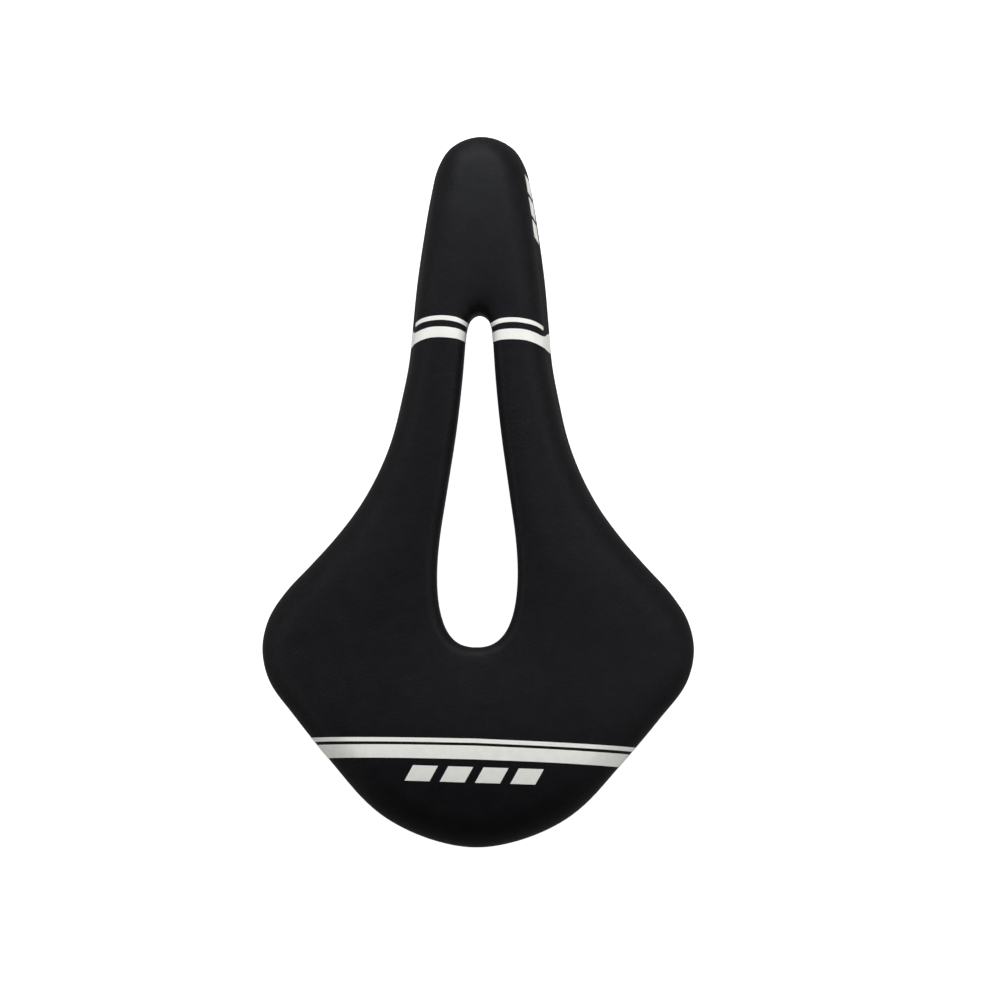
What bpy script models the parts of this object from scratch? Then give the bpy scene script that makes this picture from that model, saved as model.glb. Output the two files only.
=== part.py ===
"""Short racing bicycle saddle with a full pressure-relief cut-out.

Row frame: +Y towards the nose, +X to the rider's right, +Z up. The origin is midway between the two
rails, at the middle of the saddle's length, on the plane that the undersides of the rails touch.
Lengths in the tables are millimetres; MM turns them into the scene's metres.
"""

from math import cos, pi, sin

import bmesh
import bpy
from mathutils import Vector

MM = 0.001

# Driving dimensions
HALF_WIDTH, HALF_LENGTH = 155.0 / 2, 256.0 / 2
RAIL_DIAMETER = 7.0
RAIL_SPACING = 44.0
CLAMP_REAR, CLAMP_FRONT = -40.0, 38.0
COVER_THICKNESS = 1.2
SHELL_THICKNESS = 2.4
FOAM_SIDE = 1.9
PADDING_DEPTH = 9.5
GAP = 0.3
FILM_THICKNESS = 0.3
HEM_OUTER, HEM_INNER = 4.0, 2.6
FOOT = 1.4

# Where each layer lies under the skin: how far in from the side, and how far down from the top
FOAM_IN = COVER_THICKNESS + 1.5 * GAP
SHELL_IN = FOAM_IN + FOAM_SIDE + GAP
HEM_IN = SHELL_IN + SHELL_THICKNESS + GAP + COVER_THICKNESS
RIM_LIFT = COVER_THICKNESS + 3 * GAP

# Rays across the right half of the pad, from nose to tail: a point (x, y) on the cut-out's edge, and
# the point on the outline that it faces. Both edges are smooth curves through their points.
CUTOUT_HALF_WIDTH = 14.4
CUTOUT_FRONT, CUTOUT_REAR = 62.2, -57.0
RAYS = (
    ((0.0, CUTOUT_FRONT), (0.0, HALF_LENGTH)),
    ((1.3, 61.9), (6.2, 126.8)),
    ((2.4, 61.2), (11.9, 123.3)),
    ((3.3, 60.2), (15.7, 117.3)),
    ((4.0, 58.6), (18.4, 106.5)),
    ((4.5, 56.6), (21.0, 91.0)),
    ((4.9, 54.0), (23.2, 75.0)),
    ((5.2, 50.0), (24.6, 60.0)),
    ((5.7, 43.0), (25.9, 46.0)),
    ((6.7, 32.0), (28.6, 32.0)),
    ((8.2, 19.0), (32.0, 18.0)),
    ((10.1, 6.0), (36.9, 5.5)),
    ((11.9, -6.0), (43.2, -6.0)),
    ((13.5, -17.0), (51.5, -17.2)),
    ((14.3, -26.0), (60.6, -27.5)),
    ((CUTOUT_HALF_WIDTH, -33.5), (69.3, -37.0)),
    ((13.9, -40.0), (75.3, -46.5)),
    ((12.7, -46.0), (HALF_WIDTH, -57.0)),
    ((10.8, -50.8), (75.0, -68.5)),
    ((8.2, -54.2), (65.8, -81.0)),
    ((5.5, -56.0), (52.0, -97.6)),
    ((2.9, -56.8), (34.0, -116.5)),
    ((1.3, -57.0), (17.0, -124.9)),
    ((0.0, CUTOUT_REAR), (0.0, -HALF_LENGTH)),
)

# Stations along the saddle: y, height of the crown, drop at the edge, half-width where that drop
# is reached, height of the outer rim, lean of the side wall, edge radius across and down, and depth
# and half-width of the shallow channel along the middle.
STATIONS = (
    (130.0, 43.0, 3.0, 22.0, 26.5, 0.10, 10.0, 12.5, 0.2, 14.0),
    (112.0, 47.4, 2.6, 21.0, 24.6, 0.13, 9.5, 12.0, 0.7, 14.0),
    (90.0, 49.6, 2.6, 21.0, 22.8, 0.14, 8.5, 11.5, 1.1, 14.5),
    (60.0, 50.2, 3.2, 24.6, 21.8, 0.12, 8.0, 11.5, 1.8, 15.0),
    (25.0, 50.0, 4.6, 30.0, 21.8, 0.09, 8.0, 12.0, 2.1, 17.0),
    (-10.0, 50.2, 7.0, 46.0, 22.8, 0.06, 9.5, 12.5, 2.1, 22.0),
    (-40.0, 51.2, 9.4, 72.0, 24.2, 0.03, 11.0, 13.0, 1.8, 29.0),
    (-60.0, 52.9, 10.2, 77.5, 25.6, 0.03, 11.0, 13.0, 1.0, 32.0),
    (-80.0, 55.6, 10.0, 77.0, 29.2, 0.03, 11.0, 12.5, 0.3, 34.0),
    (-93.0, 57.0, 9.5, 74.0, 31.4, 0.03, 11.0, 12.2, 0.0, 34.0),
    (-106.0, 56.8, 9.0, 72.0, 32.6, 0.03, 11.0, 12.0, 0.0, 34.0),
    (-118.0, 55.0, 8.5, 70.0, 33.2, 0.03, 11.0, 11.8, 0.0, 34.0),
    (-130.0, 52.2, 8.0, 68.0, 33.6, 0.03, 11.0, 11.5, 0.0, 34.0),
)
CROWN, DROP, DROP_AT, RIM, LEAN, EDGE_ACROSS, EDGE_DOWN, CHANNEL, CHANNEL_AT = range(1, 10)
DROP_POWER = 2.3

# The cut-out's edge and rim
CUTOUT_ACROSS, CUTOUT_DOWN = 4.0, 5.5
CUTOUT_RIM_FRONT, CUTOUT_RIM_REAR = 32.5, 36.0

# Rails: one bow of wire, bent at the nose
RAIL_RADIUS = RAIL_DIAMETER / 2
WIRE_SIDES = 16
NOSE_BEND_RADIUS, NOSE_BEND_Y, NOSE_BEND_Z = 7.5, 81.5, 23.85
NOSE_STRAIGHT_Y = 73.0
SOCKET_MOUTH = Vector((30.0, -77.0, 31.6))
SOCKET_AXIS = Vector((3.5, -23.0, 5.4)).normalized()
RAIL_IN_SOCKET = 19.0
BEND_HANDLE = 16.0
BEND_STEPS = 11
NOSE_BEND_STEPS = 6

# Rail sockets and their sleeves
SLEEVE_WALL, SLEEVE_LENGTH = 1.5, 16.0
SLEEVE_FLANGE_RADIUS, SLEEVE_FLANGE, SLEEVE_FLANGE_SEAT = 7.2, 1.8, 0.7
SOCKET_RADIUS, SOCKET_END_RADIUS, SOCKET_LENGTH = 8.2, 7.0, 22.0

# Nose clip and its screw
CLIP_HALF_WIDTH, CLIP_FRONT, CLIP_REAR = 12.2, 96.0, 71.0
CLIP_BOTTOM, PARTING_Z = 17.0, NOSE_BEND_Z
CLIP_CORNER = 5.0
NOSE_BOSS_TOP = 38.2
SCREW_Y = 80.5
SCREW_RADIUS, SCREW_HEAD_RADIUS, SCREW_HEAD = 2.5, 4.2, 2.4
SCREW_CLEARANCE, SCREW_BEVEL = 0.4, 0.6
SCREW_SEAT_Z, SCREW_TIP_Z = 19.6, 34.0
SCREW_SOCKET_RADIUS, SCREW_SOCKET_DEPTH = 1.75, 1.5
INSERT_RADIUS, INSERT_BOTTOM, INSERT_TOP = 3.5, 28.3, 35.0

# Mesh densities: how many strips the sheets have between one ray of the table and the next
STRIPS = (2, 2, 2, 1, 1, 1, 1, 1, 1, 1, 1, 1, 1, 2, 2, 2, 2, 2, 2, 1, 1, 2, 2)
ROUND_SIDES = 24


# ---------------------------------------------------------------- curves

def hermite(p0, p1, m0, m1, t):
    """A point on the cubic from p0 to p1 with end slopes m0 and m1."""
    t2, t3 = t * t, t * t * t
    return (2 * t3 - 3 * t2 + 1) * p0 + (t3 - 2 * t2 + t) * m0 + (3 * t2 - 2 * t3) * p1 + (t3 - t2) * m1


def at_station(y, column):
    """One column of STATIONS at y, on a smooth curve through the stations."""
    last = len(STATIONS) - 1
    i = 0
    while i < last - 1 and y < STATIONS[i + 1][0]:
        i += 1
    ys = [STATIONS[k][0] for k in range(last + 1)]
    values = [STATIONS[k][column] for k in range(last + 1)]

    def slope(k):
        before, after = max(k - 1, 0), min(k + 1, last)
        return (values[after] - values[before]) / (ys[after] - ys[before])

    span = ys[i + 1] - ys[i]
    t = min(max((y - ys[i]) / span, 0.0), 1.0)
    return hermite(values[i], values[i + 1], slope(i) * span, slope(i + 1) * span, t)


def mirrored(p):
    return Vector((-p.x, p.y))


def on_edge(side, u):
    """(point, unit tangent) at share u of the way from nose to tail: side 0 cut-out, side 1 outline."""
    points = [Vector(ray[side]) for ray in RAYS]
    last = len(points) - 1
    i = min(int(u * last), last - 1)
    t = u * last - i
    before = points[i - 1] if i > 0 else mirrored(points[1])
    after = points[i + 2] if i + 2 <= last else mirrored(points[last - 1])
    a, b = points[i], points[i + 1]
    # Chord-length knots keep the curve from overshooting where the points are uneven.
    d0, d1, d2 = ((q - p).length for p, q in ((before, a), (a, b), (b, after)))
    m0 = ((a - before) / d0 * d1 + (b - a) / d1 * d0) / (d0 + d1) * d1
    m1 = ((b - a) / d1 * d2 + (after - b) / d2 * d1) / (d1 + d2) * d1
    point = hermite(a, b, m0, m1, t)
    step = 1e-3
    t_low, t_high = max(t - step, 0.0), min(t + step, 1.0)
    tangent = (hermite(a, b, m0, m1, t_high) - hermite(a, b, m0, m1, t_low)).normalized()
    if u in (0.0, 1.0):
        point.x = 0.0
        tangent = Vector((1.0 if (u == 0.0) else -1.0, 0.0))
    return point, tangent


def inset_point(side, u, inset):
    """A point in plan, inset into the padding from the cut-out's edge or from the outline."""
    point, tangent = on_edge(side, u)
    left = Vector((-tangent.y, tangent.x))
    # The curves run clockwise seen from above, so the padding is to the right of the outline and
    # to the left of the cut-out's edge.
    return point + left * (inset if side == 0 else -inset)


def top_height(x, y):
    """Height of the skin's top at a point in plan, before the edges are rounded."""
    drop = at_station(y, DROP) * (abs(x) / at_station(y, DROP_AT)) ** DROP_POWER
    share = min(abs(x) / at_station(y, CHANNEL_AT), 1.0)
    channel = at_station(y, CHANNEL) * cos(pi / 2 * share) ** 2
    return at_station(y, CROWN) - drop - channel


# ---------------------------------------------------------------- sections through the pad

def outer_rim(u):
    return at_station(on_edge(1, u)[0].y, RIM)


def cutout_rim(u):
    y = on_edge(0, u)[0].y
    share = (CUTOUT_FRONT - y) / (CUTOUT_FRONT - CUTOUT_REAR)
    return CUTOUT_RIM_FRONT + (CUTOUT_RIM_REAR - CUTOUT_RIM_FRONT) * share ** 2


def wall_point(side, u, inset, z):
    """A point on a side wall, which leans in towards its top along the outline."""
    lean = 0.0
    if side == 1:
        lean = at_station(on_edge(1, u)[0].y, LEAN) * max(z - outer_rim(u) - FOOT, 0.0)
    p = inset_point(side, u, inset + lean)
    return Vector((p.x, p.y, z))


def edge_arc(side, u, inset, depth, steps):
    """The rounded edge from the wall up to the top, for a layer inset from the side and sunk by depth."""
    y = on_edge(1, u)[0].y
    across = at_station(y, EDGE_ACROSS) if side == 1 else CUTOUT_ACROSS
    down = at_station(y, EDGE_DOWN) if side == 1 else CUTOUT_DOWN
    across, down = max(across - inset, 2.5), max(down - depth, 2.5)
    probe = inset_point(side, u, inset + across)
    wall_top = top_height(probe.x, probe.y) - depth - down
    foot = wall_point(side, u, inset, wall_top)
    lean = (Vector((foot.x, foot.y)) - inset_point(side, u, inset)).length
    arc = []
    for k in range(steps + 1):
        angle = pi / 2 * k / steps
        p = inset_point(side, u, inset + lean + across * (1 - cos(angle)))
        z = top_height(p.x, p.y) - depth - down * (1 - sin(angle))
        arc.append(Vector((p.x, p.y, min(z, top_height(p.x, p.y) - depth))))
    return arc


def layer_section(u, inset, depth, arc_steps, top_steps, rim_lift):
    """Points of a layer from the foot of the cut-out's wall, over the top, to the foot of the side."""
    inner = edge_arc(0, u, inset, depth, arc_steps)
    outer = edge_arc(1, u, inset, depth, arc_steps)
    inner_top, outer_top = inner[-1], outer[-1]
    top = []
    for k in range(1, top_steps):
        p = inner_top.lerp(outer_top, k / top_steps)
        top.append(Vector((p.x, p.y, top_height(p.x, p.y) - depth)))
    inner_foot = wall_point(0, u, inset, cutout_rim(u) + rim_lift)
    outer_foot = wall_point(1, u, inset, outer_rim(u) + rim_lift)
    return [inner_foot, *inner, *top, *reversed(outer), outer_foot]


def hem(side, u, rim, height):
    """The skin's fold under the rim, from the foot of the wall to its end inside the shell."""
    inward = HEM_IN
    fold = ((0.4, 0.4), (FOOT, 0.0), (inward - FOOT, 0.0), (inward, FOOT), (inward, height))
    return [wall_point(side, u, inset, rim + lift) for inset, lift in fold]


def cover_section(u):
    top = layer_section(u, 0.0, 0.0, 4, 4, FOOT)
    inner = hem(0, u, cutout_rim(u), HEM_INNER)
    outer = hem(1, u, outer_rim(u), HEM_OUTER)
    return [*reversed(inner), *top, *outer]


def foam_section(u):
    over = layer_section(u, FOAM_IN, FOAM_IN, 4, 4, RIM_LIFT)
    under = layer_section(u, SHELL_IN - 1.2 * GAP, PADDING_DEPTH - 2 * GAP, 2, 4, RIM_LIFT)
    return [*over, *reversed(under), over[0]]


def shell_section(u):
    return layer_section(u, SHELL_IN, PADDING_DEPTH, 2, 4, RIM_LIFT)


def film_section(u):
    return layer_section(u, -GAP, -GAP, 4, 4, 3.0)


# ---------------------------------------------------------------- scene and modifiers

def clear_scene():
    for obj in list(bpy.data.objects):
        bpy.data.objects.remove(obj, do_unlink=True)


def new_collection(name):
    collection = bpy.data.collections.new(name)
    bpy.context.scene.collection.children.link(collection)
    return collection


def material(name, colour, roughness, metallic=0.0):
    made = bpy.data.materials.new(name)
    made.use_nodes = True
    shader = made.node_tree.nodes["Principled BSDF"]
    shader.inputs["Base Color"].default_value = (*colour, 1.0)
    shader.inputs["Roughness"].default_value = roughness
    shader.inputs["Metallic"].default_value = metallic
    return made


def add_object(name, data, collection, finish=None):
    obj = bpy.data.objects.new(name, data)
    collection.objects.link(obj)
    if finish is not None:
        data.materials.append(finish)
    return obj


def hide(obj):
    """Marks a cutter or a guide, which isn't part of the saddle."""
    obj.hide_render = True
    obj.display_type = "WIRE"
    return obj


def add_solidify(obj, thickness, offset):
    modifier = obj.modifiers.new("thickness", "SOLIDIFY")
    modifier.thickness = thickness * MM
    modifier.offset = offset
    modifier.use_even_offset = True


def add_mirror(obj):
    modifier = obj.modifiers.new("mirror", "MIRROR")
    modifier.merge_threshold = 1e-5
    modifier.use_clip = True


def add_boolean(obj, other, operation):
    modifier = obj.modifiers.new(operation.lower() + " " + other.name, "BOOLEAN")
    modifier.operation = operation
    modifier.solver = "EXACT"
    modifier.object = other


def mesh_from(bm, name):
    mesh = bpy.data.meshes.new(name)
    bm.to_mesh(mesh)
    bm.free()
    return mesh


def shade(obj, degrees=35):
    obj.data.shade_smooth()
    obj.data.set_sharp_from_angle(angle=degrees * pi / 180)


# ---------------------------------------------------------------- shapes

def ray_sheet(name, section, closed_section=False):
    """Half of a sheet around the cut-out: a grid laid along the rays, one row to each point of section."""
    shares = [(i + k / strips) / len(STRIPS) for i, strips in enumerate(STRIPS) for k in range(strips)]
    rows = [section(u) for u in (*shares, 1.0)]
    rays, columns = len(rows), len(rows[0])
    bm = bmesh.new()
    bmesh.ops.create_grid(bm, x_segments=rays - 1, y_segments=columns - 1, size=1.0)
    for vert in bm.verts:
        i = round((vert.co.x + 1) / 2 * (rays - 1))
        j = round((vert.co.y + 1) / 2 * (columns - 1))
        vert.co = rows[i][j] * MM
        if i in (0, rays - 1):
            vert.co.x = 0.0
    if closed_section:
        bmesh.ops.remove_doubles(bm, verts=bm.verts, dist=1e-6)
    return mesh_from(bm, name)


def cylinder(name, radius, start, end, collection, end_radius=None, sides=ROUND_SIDES):
    """A capped cylinder or cone from one point to another, in millimetres."""
    start, end = Vector(start), Vector(end)
    axis = end - start
    bm = bmesh.new()
    bmesh.ops.create_cone(
        bm, cap_ends=True, segments=sides, radius1=radius * MM,
        radius2=(radius if end_radius is None else end_radius) * MM, depth=axis.length * MM)
    obj = add_object(name, mesh_from(bm, name), collection)
    obj.location = (start + end) / 2 * MM
    obj.rotation_mode = "QUATERNION"
    obj.rotation_quaternion = axis.to_track_quat("Z", "Y")
    return obj


def upright(name, radius, low, high, collection, sides=ROUND_SIDES):
    """An upright cylinder on the nose screw's axis."""
    return cylinder(name, radius, (0, SCREW_Y, low), (0, SCREW_Y, high), collection, sides=sides)


def shell_top(x, y):
    return top_height(x, y) - PADDING_DEPTH


def block_under_shell(name, start, end, width, bottom, collection, steps=4):
    """A block along a line in plan whose top lies inside the shell's plate. bottom is a height, or a
    depth below the plate where it is negative."""
    start, end = Vector(start), Vector(end)
    along = end - start
    across = Vector((-along.y, along.x)).normalized() * width
    inside_plate = 0.9
    bm = bmesh.new()
    bmesh.ops.create_cube(bm, size=1.0)
    bmesh.ops.subdivide_edges(
        bm, edges=[e for e in bm.edges if abs((e.verts[0].co - e.verts[1].co).x) > 0.5],
        cuts=steps - 1, use_grid_fill=True)
    for vert in bm.verts:
        p = start + along * (vert.co.x + 0.5) + across * vert.co.y
        plate = shell_top(p.x, p.y)
        low = bottom if bottom > 0 else plate - SHELL_THICKNESS + bottom
        vert.co = Vector((p.x, p.y, plate - inside_plate if vert.co.z > 0 else low)) * MM
    return add_object(name, mesh_from(bm, name), collection)


def rounded_plate(name, half_width, rear, front, bottom, top, corner, collection):
    """A plate with rounded corners in plan."""
    bm = bmesh.new()
    bmesh.ops.create_cube(bm, size=1.0)
    for vert in bm.verts:
        vert.co = Vector((
            half_width * 2 * vert.co.x,
            (front + rear) / 2 + (front - rear) * vert.co.y,
            (bottom + top) / 2 + (top - bottom) * vert.co.z)) * MM
    corners = [e for e in bm.edges if abs((e.verts[0].co - e.verts[1].co).z) > 1e-6]
    bmesh.ops.bevel(bm, geom=corners, offset=corner * MM, segments=5, affect="EDGES", profile=0.5)
    return add_object(name, mesh_from(bm, name), collection)


def turned(name, profile, origin, axis, collection, finish, steps=ROUND_SIDES):
    """A body of revolution: profile holds (radius, height) pairs, closed, around an axis."""
    mesh = bpy.data.meshes.new(name)
    points = [(radius * MM, 0.0, height * MM) for radius, height in profile]
    edges = [(k, (k + 1) % len(points)) for k in range(len(points))]
    mesh.from_pydata(points, edges, [])
    obj = add_object(name, mesh, collection, finish)
    screw = obj.modifiers.new("turned", "SCREW")
    screw.steps = screw.render_steps = steps
    screw.use_merge_vertices = True
    screw.merge_threshold = 1e-5
    obj.location = Vector(origin) * MM
    obj.rotation_mode = "QUATERNION"
    obj.rotation_quaternion = Vector(axis).to_track_quat("Z", "Y")
    return obj


def wire(name, points, radius, collection):
    """A round wire along points, as a curve with flat caps. One flat of its surface faces straight down,
    and the flats, not the corners between them, lie at the radius."""
    curve = bpy.data.curves.new(name, "CURVE")
    curve.dimensions = "3D"
    curve.twist_mode = "Z_UP"
    curve.bevel_depth = radius / cos(pi / WIRE_SIDES) * MM
    curve.bevel_resolution = WIRE_SIDES // 2 - 2
    curve.use_fill_caps = True
    spline = curve.splines.new("POLY")
    spline.points.add(len(points) - 1)
    for target, point in zip(spline.points, points):
        target.co = (*(point * MM), 1.0)
        target.tilt = pi / WIRE_SIDES
    return add_object(name, curve, collection)


def as_mesh(guide, collection):
    """The same wire as a closed mesh, in place of its curve."""
    graph = bpy.context.evaluated_depsgraph_get()
    mesh = bpy.data.meshes.new_from_object(guide.evaluated_get(graph))
    bm = bmesh.new()
    bm.from_mesh(mesh)
    bmesh.ops.remove_doubles(bm, verts=bm.verts, dist=1e-6)
    bmesh.ops.recalc_face_normals(bm, faces=bm.faces)
    bm.to_mesh(mesh)
    bm.free()
    name, place = guide.name, guide.matrix_world.copy()
    bpy.data.objects.remove(guide, do_unlink=True)
    made = add_object(name, mesh, collection)
    made.matrix_world = place
    return made


def prism(name, outline, low, high, collection, axis="Z"):
    """A closed prism over an outline. Its axis is Z over points (x, y), or X over points (y, z)."""
    bm = bmesh.new()
    if axis == "Z":
        verts = [bm.verts.new((x * MM, y * MM, low * MM)) for x, y in outline]
        push = Vector((0, 0, high - low))
    else:
        verts = [bm.verts.new((low * MM, y * MM, z * MM)) for y, z in outline]
        push = Vector((high - low, 0, 0))
    face = bm.faces.new(verts)
    swept = bmesh.ops.extrude_face_region(bm, geom=[face])["geom"]
    bmesh.ops.translate(bm, vec=push * MM, verts=[g for g in swept if isinstance(g, bmesh.types.BMVert)])
    bmesh.ops.recalc_face_normals(bm, faces=bm.faces)
    return hide(add_object(name, mesh_from(bm, name), collection))


# ---------------------------------------------------------------- rails

def bezier(p0, p1, p2, p3, steps):
    """Points of a cubic Bezier curve, without its first point."""
    points = []
    for k in range(1, steps + 1):
        t = k / steps
        s = 1 - t
        points.append(p0 * s**3 + p1 * (3 * s * s * t) + p2 * (3 * s * t * t) + p3 * t**3)
    return points


def right_rail_route():
    """The right rail's centreline from its end in the rear socket to the middle of the nose bend."""
    half = RAIL_SPACING / 2
    forward = Vector((0, 1, 0))
    mouth = SOCKET_MOUTH
    clamp_rear = Vector((half, CLAMP_REAR, RAIL_RADIUS))
    clamp_front = Vector((half, CLAMP_FRONT, RAIL_RADIUS))
    nose = Vector((NOSE_BEND_RADIUS, NOSE_STRAIGHT_Y, NOSE_BEND_Z))
    route = [mouth + SOCKET_AXIS * RAIL_IN_SOCKET, mouth]
    route += bezier(mouth, mouth - SOCKET_AXIS * BEND_HANDLE,
                    clamp_rear - forward * BEND_HANDLE, clamp_rear, BEND_STEPS)
    route.append(clamp_front)
    route += bezier(clamp_front, clamp_front + forward * BEND_HANDLE,
                    nose - forward * BEND_HANDLE, nose, BEND_STEPS)
    for k in range(NOSE_BEND_STEPS + 1):
        angle = pi / 2 * k / NOSE_BEND_STEPS
        route.append(Vector((
            NOSE_BEND_RADIUS * cos(angle), NOSE_BEND_Y + NOSE_BEND_RADIUS * sin(angle), NOSE_BEND_Z)))
    return route


def rail_route():
    right = right_rail_route()
    left = [Vector((-p.x, p.y, p.z)) for p in reversed(right[:-1])]
    return right + left


def make_rail_bow(parts, finish):
    bow = wire("rail_bow", rail_route(), RAIL_RADIUS, parts)
    bow.data.materials.append(finish)


# ---------------------------------------------------------------- padding

def make_cover(parts, finish):
    cover = add_object("cover", ray_sheet("cover", cover_section), parts, finish)
    add_mirror(cover)
    add_solidify(cover, COVER_THICKNESS, -1.0)
    shade(cover)


def make_foam(parts, finish):
    mesh = ray_sheet("foam_pad", foam_section, closed_section=True)
    foam = add_object("foam_pad", mesh, parts, finish)
    add_mirror(foam)
    shade(foam)


# ---------------------------------------------------------------- shell

# Ribs under the shell's plate, right half and middle, then one from side to side
RIB_DEPTH, RIB_WIDTH = 3.6, 1.8
SIDE_RIBS = (((25.0, -30.0), (60.0, -52.0)), ((25.0, -46.0), (62.0, -66.0)))
TAIL_RIB = ((0.0, -68.0), (0.0, -114.0))
CROSS_RIB = ((-50.0, -71.0), (50.0, -71.0))
SOCKET_WEB_WIDTH, SOCKET_WEB_LIFT = 11.0, 2.0


def flipped(side):
    """What a point is multiplied by to lie on the right (1) or on the left (-1)."""
    return Vector((side, 1, 1))


def add_rib(name, ends, tools, steps=6):
    return block_under_shell(name, *ends, RIB_WIDTH, -RIB_DEPTH, tools, steps)


def shell_additions(tools):
    """What the moulding has under its plate: the nose boss, the rail sockets with their webs, and ribs."""
    boss = rounded_plate("nose_boss", CLIP_HALF_WIDTH, CLIP_REAR, CLIP_FRONT,
                         PARTING_Z + GAP / 2, NOSE_BOSS_TOP, CLIP_CORNER, tools)
    made = [boss, add_rib("tail_rib", TAIL_RIB, tools), add_rib("cross_rib", CROSS_RIB, tools, 12)]
    for side in (1, -1):
        start = (SOCKET_MOUTH + SOCKET_AXIS) * flipped(side)
        end = start + SOCKET_AXIS * SOCKET_LENGTH * flipped(side)
        made.append(cylinder(f"socket_{side}", SOCKET_RADIUS, start, end, tools, SOCKET_END_RADIUS))
        made.append(block_under_shell(f"socket_web_{side}", start.xy, end.xy, SOCKET_WEB_WIDTH,
                                      SOCKET_MOUTH.z + SOCKET_WEB_LIFT, tools))
        for k, ((x0, y0), (x1, y1)) in enumerate(SIDE_RIBS):
            made.append(add_rib(f"side_rib_{k}_{side}", ((x0 * side, y0), (x1 * side, y1)), tools))
    return made


def shell_openings(tools):
    """Cutters for the rail's groove in the nose boss, the insert, its screw and the two rail sockets."""
    route = rail_route()
    middle, reach = len(route) // 2, NOSE_BEND_STEPS + 6
    groove = wire("bow_groove", route[middle - reach:middle + reach + 1], RAIL_RADIUS + GAP, tools)
    made = [as_mesh(groove, tools)]
    made.append(upright("insert_bore", INSERT_RADIUS + GAP, INSERT_BOTTOM - GAP, INSERT_TOP + GAP, tools))
    made.append(upright("screw_bore", SCREW_RADIUS + SCREW_CLEARANCE, PARTING_Z - 1,
                        INSERT_BOTTOM + 1, tools))
    for side in (1, -1):
        mouth = (SOCKET_MOUTH - SOCKET_AXIS * 2) * flipped(side)
        end = (SOCKET_MOUTH + SOCKET_AXIS * (RAIL_IN_SOCKET + GAP)) * flipped(side)
        made.append(cylinder(f"socket_bore_{side}", RAIL_RADIUS + SLEEVE_WALL + 2 * GAP, mouth, end, tools))
    return made


def make_shell(parts, tools, finish):
    shell = add_object("base_shell", ray_sheet("base_shell", shell_section), parts, finish)
    add_mirror(shell)
    add_solidify(shell, SHELL_THICKNESS, -1.0)
    for piece in shell_additions(tools):
        add_boolean(shell, hide(piece), "UNION")
    for piece in shell_openings(tools):
        add_boolean(shell, hide(piece), "DIFFERENCE")
    shade(shell)


# ---------------------------------------------------------------- rail fixings

def make_sleeve(name, side, parts, finish):
    """A rubber sleeve on the rail's end, with a flange outside the socket's mouth."""
    inner = RAIL_RADIUS + GAP
    outer = inner + SLEEVE_WALL
    seat = SLEEVE_FLANGE_SEAT
    face = seat - SLEEVE_FLANGE
    profile = ((outer, SLEEVE_LENGTH), (outer, seat), (SLEEVE_FLANGE_RADIUS, seat),
               (SLEEVE_FLANGE_RADIUS, face), (inner, face), (inner, SLEEVE_LENGTH))
    side_axis = SOCKET_AXIS * flipped(side)
    shade(turned(name, profile, SOCKET_MOUTH * flipped(side), side_axis, parts, finish))


def make_nose_clip(parts, tools, finish, groove):
    clip = rounded_plate("nose_clip", CLIP_HALF_WIDTH, CLIP_REAR, CLIP_FRONT,
                         CLIP_BOTTOM, PARTING_Z - GAP / 2, CLIP_CORNER, parts)
    clip.data.materials.append(finish)
    below = CLIP_BOTTOM - 1
    bore = upright("clip_bore", SCREW_RADIUS + SCREW_CLEARANCE, below, PARTING_Z + 1, tools)
    counterbore = upright("clip_counterbore", SCREW_HEAD_RADIUS + SCREW_CLEARANCE, below, SCREW_SEAT_Z, tools)
    for cutter in (groove, bore, counterbore):
        add_boolean(clip, hide(cutter), "DIFFERENCE")
    shade(clip)


def make_screw(parts, tools, finish):
    seat = SCREW_SEAT_Z - GAP
    low = seat - SCREW_HEAD
    profile = ((0.0, SCREW_TIP_Z), (SCREW_RADIUS - SCREW_BEVEL, SCREW_TIP_Z),
               (SCREW_RADIUS, SCREW_TIP_Z - SCREW_BEVEL), (SCREW_RADIUS, seat),
               (SCREW_HEAD_RADIUS, seat), (SCREW_HEAD_RADIUS, low + SCREW_BEVEL),
               (SCREW_HEAD_RADIUS - SCREW_BEVEL, low), (0.0, low))
    screw = turned("nose_clip_screw", profile, (0, SCREW_Y, 0), (0, 0, 1), parts, finish)
    recess = upright("hex_recess", SCREW_SOCKET_RADIUS, low - 1, low + SCREW_SOCKET_DEPTH, tools, sides=6)
    add_boolean(screw, hide(recess), "DIFFERENCE")
    shade(screw)


def make_insert(parts, finish):
    bore = SCREW_RADIUS + GAP
    profile = ((INSERT_RADIUS, INSERT_TOP), (INSERT_RADIUS, INSERT_BOTTOM),
               (bore, INSERT_BOTTOM), (bore, INSERT_TOP))
    shade(turned("nose_insert_nut", profile, (0, SCREW_Y, 0), (0, 0, 1), parts, finish))


# ---------------------------------------------------------------- graphic films

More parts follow.
